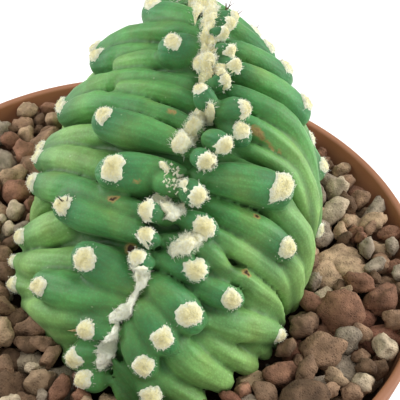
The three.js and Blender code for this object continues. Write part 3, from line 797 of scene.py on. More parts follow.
@dataclass
class Stem:
    """The crested body: a core under close-set ribs of tubercles, on a neck in the soil."""

    flanks: Flanks
    grid_step: float = 0.68
    core_depth: float = 6.0
    core_steps: tuple = (48, 15)
    core_directions: tuple = (120, 40)
    core_spread: float = 0.09
    root_lift: float = -5.2
    crest_root_lift: float = -2.2
    crest_share: float = 0.12
    tip_lift: float = 1.2
    nub_lift: float = 2.2
    plain_lift: float = 0.3
    elder: float = 0.25
    second_row: float = 0.15
    front_youth: tuple = ((10, 0.55), (34, 1.0))
    mean_radius: float = 3.9
    bulge: float = 0.9
    rise: float = 0.8
    plain_rise: float = 0.4
    swelling: tuple = ((0, 0.68), (0.25, 0.88), (0.6, 1.05), (0.85, 1.0), (1, 0.82))
    plain_swelling: tuple = ((0, 0.7), (0.3, 0.95), (0.7, 1.02), (1, 0.9))
    axis_steps: int = 7
    tip_pull: float = 0.35
    past_tip: float = 0.3
    within_rib: float = 1.0
    groove_depth: float = 0.8
    groove_width: float = 2.4
    groove_rounding: float = 1.2
    evening: float = 0.45
    crease_evening: float = 8.0
    evening_rounds: int = 4
    over_core: float = 0.6
    girth: tuple = ((0, 0.95), (0.15, 1.02), (0.5, 1.0), (1, 0.8))
    neck_radius: float = 17.0
    neck_top: float = POT_HEIGHT - 15
    neck_end: float = POT_HEIGHT - 42
    drawn_in: tuple = ((0, 1), (0.45, 0.9), (0.8, 0.66), (1, 0.42))
    reach: float = 3.0
    margin: float = 8.0
    young_at_foot: float = 0.35
    young_height: float = 40.0
    far_off: float = 9.0
    grain_shift: float = 7.3
    ridge_width: float = 4.0
    hollow_rounds: int = 14
    line_rounds: int = 2
    age_rounds: int = 4
    young_reach: float = 7.0

    def __post_init__(self) -> None:
        """Collects the ribs of both flanks and the fingers on them."""
        far = FarRibs()
        self.ribs = {
            Side.LEFT: LEFT_RIBS + far.ribs(self.flanks.length),
            Side.RIGHT: RIGHT_RIBS + far.ribs(self.flanks.length),
        }
        self.fingers = []
        every = [(side, chain) for side, chains in self.ribs.items() for chain in chains]
        for number, (side, chain) in enumerate(every):
            gone, root = 0.0, 0
            for tip in range(1, len(chain)):
                if len(chain[tip]) > 3 or tip == len(chain) - 1:
                    finger = self.finger(side, chain[root : tip + 1], number, gone)
                    self.fingers.append(finger)
                    gone += float(run_of(finger.points)[-1])
                    root = tip

    def finger(self, side: Side, stops: list[list[float]], rib: int, start: float) -> Tubercle:
        """Shapes one finger along the stops of a rib, from its root to its tip.

        Args:
            side: the flank.
            stops: the stops that it runs through, the last one under its areole.
            rib: the rib's number.
            start: the length of the rib's fingers before this one.

        Returns:
            The finger.
        """
        root, tip = stops[0], stops[-1]
        along, share, radii = (np.array([stop[k] for stop in stops], float) for k in range(3))
        has_areole = len(tip) > 3
        is_nub = has_areole and tip[1] < self.crest_share
        if has_areole and not is_nub:
            gap = np.linalg.norm(np.diff(self.flanks.point(side, along[-2:], share[-2:]), axis=0))
            further = self.past_tip * tip[2] / max(float(gap), 1.0)
            along[-1] += (along[-1] - along[-2]) * further
            share[-1] += (share[-1] - share[-2]) * further
        gone = run_of(self.flanks.point(side, along, share))
        length = max(float(gone[-1]), 1.0)
        places = gone / length
        t_end = max(1 - self.tip_pull * tip[2] / length, 0.3) if is_nub else 1.0
        t = np.linspace(0, 1, self.axis_steps + 3 * (len(stops) - 2))
        rise = self.rise if has_areole else self.plain_rise
        climb = np.where(t < places[1], places[1] * (t / places[1]) ** rise, t)
        levels = [self.root_depth(root)] + [self.height_over(stop) for stop in stops[1:]]
        lift = np.interp(climb, places, levels)
        along, share, radius = (np.interp(t * t_end, places, values) for values in (along, share, radii))
        up = self.flanks.normal(side, along, share)
        swell = looked_up(t, self.swelling if has_areole else self.plain_swelling)
        swell = swell * radius * looked_up(share, self.girth)
        points = self.flanks.point(side, along, share) + up * (lift - swell)[:, None]
        elder = 0 if has_areole and root[1] < self.second_row else self.elder
        ages = (share + elder) * (looked_up(root[0], self.front_youth) if side == Side.RIGHT else 1)
        return Tubercle(rib, points, swell, up, ages, start)

    def root_depth(self, stop: list[float]) -> float:
        """The level of a finger's root over the smooth surface."""
        return self.crest_root_lift if stop[1] < self.crest_share else self.root_lift

    def height_over(self, stop: list[float]) -> float:
        """The level of a stop over the smooth surface, where stout fingers stand the prouder.

        Args:
            stop: a stop of a chain.

        Returns:
            The level in millimetres.
        """
        proud = (stop[2] - self.mean_radius) * self.bulge
        if len(stop) == 3:
            return self.plain_lift + proud
        return self.nub_lift if stop[1] < self.crest_share else self.tip_lift + proud / 2

    def core(self, places: np.ndarray) -> np.ndarray:
        """How far places lie outside the body under the ribs.

        Args:
            places: points in millimetres.

        Returns:
            One distance for each.
        """
        along = np.linspace(0, self.flanks.length, self.core_steps[0])
        share = np.linspace(0, 1, self.core_steps[1])
        along, share = (a.ravel() for a in np.meshgrid(along, share))
        skin = np.concatenate([
            self.flanks.point(side, along, share) - self.core_depth * self.flanks.normal(side, along, share)
            for side in Side
        ]) - self.flanks.centre
        radii = np.linalg.norm(skin, axis=1)
        turns, heights = self.core_directions
        azimuth = np.linspace(-math.pi, math.pi, turns + 1)
        height = np.linspace(0, math.pi / 2, heights)
        a, h = np.meshgrid(azimuth, height, indexing="ij")
        looks = np.stack([np.cos(h) * np.cos(a), np.cos(h) * np.sin(a), np.sin(h)], -1)
        weight = np.exp((looks @ unit(skin).T - 1) / self.core_spread**2)
        table = (weight * radii).sum(-1) / weight.sum(-1)
        offset = places - self.flanks.centre
        flat = np.hypot(offset[..., 0], offset[..., 1])
        column = (np.arctan2(offset[..., 1], offset[..., 0]) + math.pi) / (2 * math.pi) * turns
        row = np.arctan2(np.maximum(offset[..., 2], 0), flat) / (math.pi / 2) * (heights - 1)
        c0 = np.clip(column.astype(int), 0, turns - 1)
        r0 = np.clip(row.astype(int), 0, heights - 2)
        fc, fr = column - c0, row - r0
        radius = (
            table[c0, r0] * (1 - fc) * (1 - fr) + table[c0 + 1, r0] * fc * (1 - fr)
            + table[c0, r0 + 1] * (1 - fc) * fr + table[c0 + 1, r0 + 1] * fc * fr
        )
        above = np.linalg.norm(offset, axis=-1) - radius
        fall = np.clip(-offset[..., 2] / (self.flanks.centre[2] - self.neck_top), 0, 1)
        keep = looked_up(fall, self.drawn_in)
        below = flat - np.maximum(radius * keep, self.neck_radius)
        below = np.where(places[..., 2] < self.neck_top, flat - self.neck_radius, below)
        below = np.maximum(below, self.neck_end - places[..., 2])
        return np.where(offset[..., 2] > 0, above, below)

    def build(self) -> bpy.types.Object:
        """Makes the body's mesh and the values that its skin is coloured by.

        Returns:
            The stem, which stands for the CAD stem.
        """
        ends = np.concatenate([f.points for f in self.fingers])
        low, high = ends.min(0) - self.margin, ends.max(0) + self.margin
        low[2] = self.neck_end - 2
        grid = Grid(tuple(low), tuple(high), self.grid_step)
        core = self.core(grid.window(low - 1, high + 1)[1])
        ribs_field = np.full(core.shape, OUTSIDE)
        for rib in sorted({f.rib for f in self.fingers}):
            fingers = [f for f in self.fingers if f.rib == rib]
            corners = np.concatenate([f.points for f in fingers])
            around = max(f.radii.max() * f.breadth for f in fingers) + self.reach
            cut, places = grid.window(corners.min(0) - around, corners.max(0) + around)
            one = np.full(places.shape[:-1], OUTSIDE)
            for finger in fingers:
                part, spots = grid.window(*finger.box(self.reach))
                own = tuple(slice(p.start - c.start, p.stop - c.start) for p, c in zip(part, cut))
                one[own] = blended(one[own], finger.measure(spots)[0], self.within_rib)
            ribs_field[cut] = parted(
                ribs_field[cut], one, self.groove_depth, self.groove_width, self.groove_rounding,
            )
        grid.values = blended(core, ribs_field, self.over_core).astype(np.float32)
        points, faces = grid.surface()
        piece = make_piece("crested_stem", points, faces, "cactus_flesh")
        normals = self.normals(piece)
        for _ in range(self.evening_rounds):
            pull = self.evened(piece, points, 1) - points
            weight = np.clip(self.evening + self.crease_evening * (pull * normals).sum(-1), self.evening, 1)
            points = points + pull * weight[:, None]
        piece.data.vertices.foreach_set("co", (points * MM).ravel())
        piece.data.update()
        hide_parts("cactus_stem")
        self.colour_guides(piece, points)
        log.info("crested_stem: %d faces", len(faces))
        return piece

    def colour_guides(self, piece: bpy.types.Object, points: np.ndarray) -> None:
        """Stores what the skin's colours follow: ribs, creases and places on them.

        Args:
            piece: the stem.
            points: its corners, in millimetres.
        """
        count = len(points)
        first, second, rib_distance = (np.full(count, self.far_off) for _ in range(3))
        grain, rib_grain = np.zeros((count, 3)), np.zeros((count, 3))
        age, rib_age = np.zeros(count), np.zeros(count)
        current = -1

        def settle() -> None:
            """Takes the finished rib into the nearest and the second nearest."""
            nearer = rib_distance < first
            second[:] = np.where(nearer, first, np.minimum(second, rib_distance))
            first[:] = np.where(nearer, rib_distance, first)
            grain[nearer] = rib_grain[nearer]
            age[nearer] = rib_age[nearer]

        for finger in self.fingers:
            if finger.rib != current:
                settle()
                rib_distance[:] = self.far_off
                current = finger.rib
            low, high = finger.box(self.reach)
            near = np.flatnonzero(np.all((points > low) & (points < high), axis=1))
            distance, along, round_it = finger.measure(points[near])
            take = distance < rib_distance[near]
            spots, distance, along, round_it = near[take], distance[take], along[take], round_it[take]
            rib_distance[spots] = distance
            shift = np.full(len(spots), finger.rib * self.grain_shift)
            rib_grain[spots] = np.stack([round_it, along, shift], -1)
            gone = finger.start + run_of(finger.points)
            rib_age[spots] = np.interp(along, gone, finger.ages)
        settle()
        ridge = np.clip((second - first) / self.ridge_width, 0, 1)
        give_values(piece, "ridge", self.evened(piece, ridge[:, None], self.line_rounds)[:, 0])
        raised = self.evened(piece, points, self.hollow_rounds) - points
        hollow = (raised * self.normals(piece)).sum(-1)
        give_values(piece, "hollow", self.evened(piece, hollow[:, None], self.line_rounds)[:, 0])
        give_values(piece, "grain", grain)
        give_values(piece, "skin_age", np.clip(self.evened(piece, age[:, None], self.age_rounds)[:, 0], 0, 1))

    def normals(self, piece: bpy.types.Object) -> np.ndarray:
        """The outward direction at each corner of a piece.

        Args:
            piece: the piece.

        Returns:
            One direction for each corner.
        """
        found = np.empty(len(piece.data.vertices) * 3)
        piece.data.vertices.foreach_get("normal", found)
        return found.reshape(-1, 3)

    def evened(self, piece: bpy.types.Object, values: np.ndarray, rounds: int) -> np.ndarray:
        """Evens out values over the stem.

        Args:
            piece: the stem.
            values: a row of numbers for each of its corners.
            rounds: how often each corner takes the mean of its neighbours.

        Returns:
            The evened rows.
        """
        mesh = piece.data
        ends = np.empty(len(mesh.edges) * 2, np.int64)
        mesh.edges.foreach_get("vertices", ends)
        ends = ends.reshape(-1, 2)
        counts = np.bincount(ends.ravel(), minlength=len(values))[:, None]
        for _ in range(rounds):
            total = np.stack([
                np.bincount(ends[:, 0], column[ends[:, 1]], len(values))
                + np.bincount(ends[:, 1], column[ends[:, 0]], len(values))
                for column in values.T
            ], -1)
            values = total / counts
        return values

    def shade_round(self, piece: bpy.types.Object, points: np.ndarray, seats: list["Seat"]) -> None:
        """Stores how near each corner lies to an areole, the more so higher up. The skin is a darker bluish
        green there: partly young skin, partly painted shade on the fingers' tops.

        Args:
            piece: the stem.
            points: its corners, in millimetres.
            seats: where the areoles sit.
        """
        near = np.zeros(len(points))
        for seat in seats:
            gap = np.linalg.norm(points - seat.centre, axis=1)
            young = min(1, self.young_at_foot + (seat.centre[2] - GRAVEL_TOP) / self.young_height)
            near = np.maximum(near, np.exp(-((gap / self.young_reach) ** 2)) * young)
        give_values(piece, "near_areole", near)


@dataclass(frozen=True)
class WaxySkin:
    """Living epidermis of the stem, under a thin dull bloom of wax.

    The bloom softens gloss. The skin is paler and greyer lower down the flank: partly older
    skin, partly painted light on the lower flanks and edges. Round the areoles it is a deep
    bluish green: partly young skin, partly painted shade on the fingers' tops. The creases, where
    ribs press together, are dark, and the grooves of the relief darker and its ridges lighter:
    painted shade and painted light. A range maps the values from its first two numbers to its
    last two.
    """

    # Paler with age, down the flank: partly older skin, partly painted light on the lower flanks and edges.
    ages: tuple = ((0.1, "#54934d"), (0.4, "#60a053"), (0.62, "#7cac5d"), (1.0, "#95bf70"))
    round_areole: str = "#3b784b"
    beside_crease: str = "#679a50"
    # Painted shade for the creases and the seams between ribs.
    crease_shade: str = "#1b4421"
    sunned: str = "#7f9548"
    dust_and_shade: str = "#b9cda2"
    wound: str = "#3d2a1a"
    cork: str = "#a98a55"
    bloom: str = "#cfe0b8"
    pleat: tuple = (0.7, 14.0)
    fold: tuple = (2.2, 17.0)
    cell: float = 0.55
    speck: float = 4.5
    mottle: float = 5.0
    patch: float = 9.0
    sunned_range: tuple = (0.52, 0.72, 0.0, 0.55)
    edge_range: tuple = (0.0, 0.5, 0.4, 0.0)
    hollow_shade_range: tuple = (0.05, 0.42, 0.0, 0.75)
    seam_shade_range: tuple = (0.04, 0.26, 0.65, 0.0)
    pleat_shade: tuple = (0.3, 0.7, -0.04, 0.04)
    fold_shade: tuple = (0.3, 0.7, 0.9, 1.1)
    mottle_tone: tuple = (0.3, 0.7, 0.84, 1.16)
    cell_shade: tuple = (0.1, 0.6, 0.1, -0.1)
    speck_range: tuple = (0.03, 0.055, 0.4, 0.0)
    scar_rough: tuple = (0.1, 0.6, -0.12, 0.12)
    cork_range: tuple = (0.1, 0.5, 0.0, 0.85)
    wound_range: tuple = (0.55, 0.8, 0.0, 1.0)
    fold_strength: tuple = (0.12, 0.4, 0.0, 0.6)
    pleat_strength: tuple = (0.12, 0.4, 0.0, 0.25)
    cell_strength: float = 0.35
    fold_depth: float = 1.2
    pleat_depth: float = 0.3
    cell_depth: float = 0.12

    def material(self) -> bpy.types.Material:
        """Makes the shader."""
        s = Shading("waxy_skin")
        ridge, scar = s.stored("ridge"), s.stored("scar")
        grain = s.stored("grain", "Vector")
        pleats, folds = s.drawn(grain, *self.pleat, 2.0), s.drawn(grain, *self.fold, 1.0)
        cells = s.cells(self.cell)
        # Paler down the flank: partly older skin, partly painted light on the lower flanks and edges.
        aged = s.ramp(s.stored("skin_age"), self.ages)
        body = s.mixed(s.spread(s.noise(self.patch, 3.0), *self.sunned_range), aged, self.sunned)
        # Darker bluish green round the areoles: partly young skin, partly painted shade on the fingers' tops.
        body = s.mixed(s.stored("near_areole"), body, self.round_areole)
        body = s.mixed(s.spread(ridge, *self.edge_range), body, self.beside_crease)
        # Painted shade: the hollows and the seams between ribs are mixed towards a dark green.
        deep, seam = s.spread(s.stored("hollow"), *self.hollow_shade_range), s.spread(ridge, *self.seam_shade_range)
        body = s.mixed(s.maths("MAXIMUM", deep, seam), body, self.crease_shade)
        # Mottle is random tone. The pleat, cell and fold terms darken the grooves and lighten the ridges of
        # the relief that the same patterns bump: painted shade and painted light.
        light = s.spread(s.noise(self.mottle, 4.0), *self.mottle_tone)
        light = s.maths("ADD", s.spread(pleats, *self.pleat_shade), light)
        light = s.maths("ADD", light, s.spread(cells, *self.cell_shade))
        light = s.maths("MULTIPLY", light, s.spread(folds, *self.fold_shade))
        # Pale specks of dust on the skin.
        body = s.mixed(s.spread(s.cells(self.speck), *self.speck_range), s.times(body, light), self.dust_and_shade)
        scar = s.maths("ADD", scar, s.spread(cells, *self.scar_rough))
        body = s.mixed(s.spread(scar, *self.cork_range), body, self.cork)
        body = s.mixed(s.spread(scar, *self.wound_range), body, self.wound)
        relief = s.bump(folds, s.spread(ridge, *self.fold_strength), self.fold_depth)
        relief = s.bump(pleats, s.spread(ridge, *self.pleat_strength), self.pleat_depth, under=relief)
        return s.finished({
            "Base Color": body,
            "Normal": s.bump(cells, self.cell_strength, self.cell_depth, under=relief, invert=True),
            "Roughness": 0.5,
            "Specular IOR Level": 0.25,
            "Subsurface Weight": 0.1,
            "Subsurface Radius": (0.7, 1.0, 0.4),
            "Subsurface Scale": 1.0 * MM,
            "Sheen Weight": 0.16,
            "Sheen Roughness": 0.28,
            "Sheen Tint": linear(self.bloom),
        })


# Wool


@dataclass
class Strands:
    """Fine tapering hairs, each a bent three-sided rod."""

    radius: float = 0.06
    bend: float = 0.2
    middle: float = 0.55
    middle_radius: float = 0.75
    middle_sag: float = 0.5
    tip_sag: float = 1.4

    def shape(self, roots: np.ndarray, ways: np.ndarray, lengths: np.ndarray, rng: Random) -> tuple:
        """Shapes hairs that grow from places.

        Args:
            roots: where each hair starts.
            ways: which way it grows.
            lengths: how long it is.
            rng: the source of random numbers.

        Returns:
            The points, the faces, and the hair's number for each point.
        """
        count = len(roots)
        helper = unit(rng.normal(size=(count, 3)))
        first = unit(np.cross(ways, helper))
        second = np.cross(ways, first)
        sag = first * (self.bend * lengths)[:, None] * rng.uniform(-1, 1, (count, 1))
        points = np.empty((count, 7, 3))
        middle = roots + ways * (lengths * self.middle)[:, None] + sag * self.middle_sag
        for corner in range(3):
            a = 2 * math.pi * corner / 3
            ring = math.cos(a) * first + math.sin(a) * second
            points[:, corner] = roots + ring * self.radius
            points[:, 3 + corner] = middle + ring * self.radius * self.middle_radius
        points[:, 6] = roots + ways * lengths[:, None] + sag * self.tip_sag
        pattern = np.array([
            [0, 1, 4], [0, 4, 3], [1, 2, 5], [1, 5, 4], [2, 0, 3], [2, 3, 5], [3, 4, 6], [4, 5, 6], [5, 3, 6],
        ])
        faces = (np.arange(count)[:, None, None] * 7 + pattern).reshape(-1, 3)
        return points.reshape(-1, 3), faces, np.repeat(np.arange(count), 7)


@dataclass(frozen=True)
class WoolFelt:
    """Areole wool: dense dry plant hair, matted to a felt that yellows where it is oldest.

    The mat scatters light evenly with no gloss, and its loose hairs make a pale fringe.
    """

    colours: tuple = ((0.0, "#fafce6"), (0.55, "#e6e0b4"), (1.0, "#e2d9a0"))
    clump: float = 0.5
    hair: float = 0.16
    unevenness: float = 1.1
    clump_gap_shade: tuple = (0.3, 0.55, 0.92, 1.0)
    clump_relief: tuple = (0.8, 0.4)
    hair_relief: tuple = (0.5, 0.2)

    def material(self) -> bpy.types.Material:
        """Makes the shader."""
        s = Shading("wool_felt")
        clumps = s.noise(self.clump, 3.0)
        mixed = s.maths("MULTIPLY_ADD", s.maths("SUBTRACT", clumps, 0.5), self.unevenness, s.stored("age"))
        mat = s.bump(clumps, *self.clump_relief)
        return s.finished({
            # The gaps between the clumps of the felt's relief are darkened: painted shade.
            "Base Color": s.times(s.ramp(mixed, self.colours), s.spread(clumps, *self.clump_gap_shade)),
            "Normal": s.bump(s.noise(self.hair, 2.0), *self.hair_relief, under=mat),
            "Roughness": 0.95,
            "Specular IOR Level": 0.2,
            "Sheen Weight": 0.2,
            "Subsurface Weight": 0.3,
            "Subsurface Radius": (1.0, 0.95, 0.8),
            "Subsurface Scale": 0.8 * MM,
        })


@dataclass
class Seat:
    """Where a cushion of wool sits on the stem."""

    centre: np.ndarray
    up: np.ndarray
    across: np.ndarray
    down: np.ndarray
    width: float
    length: float
    share: float


class Skin:
    """Finds places on the finished stem's surface."""

    def __init__(self, stem: bpy.types.Object) -> None:
        """Indexes the stem's faces."""
        mesh = stem.data
        points = np.empty(len(mesh.vertices) * 3, np.float32)
        mesh.vertices.foreach_get("co", points)
        self.points = points.reshape(-1, 3) / MM
        corners = [tuple(p.vertices) for p in mesh.polygons]
        self.tree = BVHTree.FromPolygons(self.points.tolist(), corners)

    def hit(self, start: np.ndarray, way: np.ndarray, reach: float = 400.0) -> Hit:
        """The first place on the skin along a ray.

        Args:
            start: where the ray starts.
            way: its direction.
            reach: how far it goes.

        Returns:
            The place and the outward direction there, or None where the ray misses.
        """
        place, normal, _, _ = self.tree.ray_cast(Vector(start), Vector(way).normalized(), reach)
        return None if place is None else (np.array(place), np.array(normal))

    def seen(self, lens: Lens, column: float, row: float) -> Hit:
        """The place on the skin that a pixel of the camera's picture shows.

        Args:
            lens: the camera.
            column: the pixel's column.
            row: the pixel's row.

        Returns:
            The place and the outward direction there, or None beside the plant.
        """
        return self.hit(np.array(lens.eye), np.array(lens.ray(column, row)))


@dataclass
class Cushions:
    """The woolly areoles: low domes of felt with a fringe of loose hairs.

    A search is how far out a ray starts and how far it goes, in millimetres.
    """

    flanks: Flanks
    skin: Skin
    height: float = 0.7
    roundness: int = 5
    tilt: tuple = (0.6, 0.4)
    step_down: float = 0.03
    search: tuple = (9.0, 20.0)
    search_base: tuple = (3.0, 7.0)
    rings: int = 8
    sectors: int = 40
    ragged: float = 0.07
    few_waves: range = range(2, 8)
    tufted: float = 0.035
    many_waves: range = range(9, 19, 2)
    lump_size: float = 0.9
    lump_height: float = 0.22
    grow: float = 1.02
    nub_grow: float = 0.92
    nub_share: float = 0.13
    oldest: float = 0.95
    age_fall: float = 2.2
    hairs_per_area: float = 15.0
    fringe: float = 0.8
    fringe_from: float = 0.7
    hair_lengths: tuple = (0.18, 0.36)
    longer_at_edge: float = 0.14
    hair_spread: float = 0.16
    hair_sink: float = 0.1
    lean_from: float = 0.35
    lean_ways: tuple = (1.15, 1.1, 0.3)
    hair_ages: tuple = (0.5, 0.6, 0.12, -0.2)
    seed: int = 5

    def seats(self, ribs: dict[Side, Ribs]) -> list[Seat]:
        """Finds a seat on the stem for each areole of the ribs.

        Args:
            ribs: the chains of stops of both flanks.

        Returns:
            The seats, in the order of the ribs.
        """
        return [
            self.seat(side, stop)
            for side, chains in ribs.items() for chain in chains for stop in chain if len(stop) > 3
        ]

    def seat(self, side: Side, stop: list[float]) -> Seat:
        """Seats one areole on the skin over its stop.

        Args:
            side: the flank that it is on.
            stop: its stop.

        Returns:
            The seat.
        """
        along, share, _, width = stop[:4]
        length = stop[4] if len(stop) > 4 else width
        smooth = self.flanks.point(side, along, share)
        out = self.flanks.normal(side, along, share)
        hit = self.skin.hit(smooth + out * self.search[0], -out, self.search[1])
        centre, up = (smooth, out) if hit is None else hit
        up = unit(up * self.tilt[0] + out * self.tilt[1])
        down = unit(self.flanks.point(side, along, share + self.step_down) - smooth)
        across = unit(np.cross(down, up))
        return Seat(centre, up, across, np.cross(up, across), width, length, share)

    def dome(self, seat: Seat, number: int) -> tuple[np.ndarray, np.ndarray, np.ndarray]:
        """Shapes one cushion.

        Args:
            seat: where it sits.
            number: its number, which draws its ragged edge.

        Returns:
            The points, the faces, and each point's share of the way to the edge.
        """
        rng = np.random.default_rng(self.seed + number)
        turn = np.arange(self.sectors) / self.sectors * 2 * math.pi
        edge = np.ones(self.sectors)
        for waves in (*self.few_waves, *self.many_waves):
            size = self.ragged / math.sqrt(waves - 1) if waves in self.few_waves else self.tufted
            edge += size * rng.normal() * np.cos(waves * turn + rng.uniform(0, 6.3))
        edge *= self.nub_grow if seat.share < self.nub_share else self.grow
        points, outness = [], []
        for ring in range(self.rings + 1):
            out = ring / self.rings
            for k in range(1 if ring == 0 else self.sectors):
                reach = out * edge[k] / 2
                spot = (
                    seat.centre + seat.across * reach * seat.length * math.cos(turn[k])
                    + seat.down * reach * seat.width * math.sin(turn[k])
                )
                hit = self.skin.hit(spot + seat.up * self.search_base[0], -seat.up, self.search_base[1])
                base = hit[0] if hit else spot - seat.up
                points.append(base + seat.up * self.height * felt_dome(out, self.roundness))
                outness.append(out)
        points = np.array(points)
        outness = np.array(outness)
        rough = lumps(points, self.lump_size, number)
        rough += 0.5 * lumps(points, self.lump_size / 2.2, number + 3)
        points += seat.up * (rough * self.lump_height * (1 - outness**4))[:, None]
        around = ring_faces(1, self.rings, self.sectors)[:, [0, 3, 2, 1]]
        return points, np.concatenate([fan(0, 1, self.sectors), halved(around)]), outness

    def fringe_of(self, seat: Seat, domed: np.ndarray, outness: np.ndarray, rng: Random) -> tuple:
        """Plans the loose hairs of one cushion.

        Args:
            seat: where the cushion sits.
            domed: its points.
            outness: their share of the way to the edge.
            rng: the source of random numbers.

        Returns:
            Roots, directions, lengths and ages of the hairs.
        """
        count = int(seat.width * seat.length * self.hairs_per_area)
        weight = np.where(outness > self.fringe_from, self.fringe, 1 - self.fringe)
        pick = rng.choice(len(domed), count, p=weight / weight.sum())
        out = outness[pick]
        roots = domed[pick] + rng.normal(size=(count, 3)) * self.hair_spread
        away = unit(domed[pick] - seat.centre + rng.normal(size=(count, 3)) * 0.5)
        lean = np.clip((out - self.lean_from) / (1 - self.lean_from), 0, 1)[:, None]
        upward, outward, toss = self.lean_ways
        ways = seat.up * (upward - lean) + away * lean * outward + rng.normal(size=(count, 3)) * toss
        lengths = rng.uniform(*self.hair_lengths, count)
        lengths += self.longer_at_edge * lean[:, 0] * rng.uniform(0, 1, count)
        inner, fall, toss, youngest = self.hair_ages
        ages = np.clip(inner - fall * lean[:, 0] + rng.normal(size=count) * toss, youngest, 1)
        return roots - seat.up * self.hair_sink, unit(ways), lengths, ages

    def build(self, seats: list[Seat]) -> list[bpy.types.Object]:
        """Makes the felt and its hairs.

        Args:
            seats: where the cushions sit.

        Returns:
            The two pieces.
        """
        rng = np.random.default_rng(self.seed)
        domes, plans = [], []
        for number, seat in enumerate(seats):
            points, faces, outness = self.dome(seat, number)
            plans.append(self.fringe_of(seat, points, outness, rng))
            domes.append((points, faces, self.oldest - self.oldest * outness**self.age_fall))
        points, faces, ages = joined(domes)
        felt = make_piece("areole_felt", points, faces, "areole_wool", age=ages)
        roots, ways, lengths, hair_ages = (np.concatenate(part) for part in zip(*plans))
        strands, corners, numbers = Strands().shape(roots, ways, lengths, rng)
        hairs = make_piece("areole_hairs", strands, corners, "areole_wool", age=hair_ages[numbers])
        log.info("areole_felt: %d cushions, areole_hairs: %d hairs", len(seats), len(roots))
        return [felt, hairs]


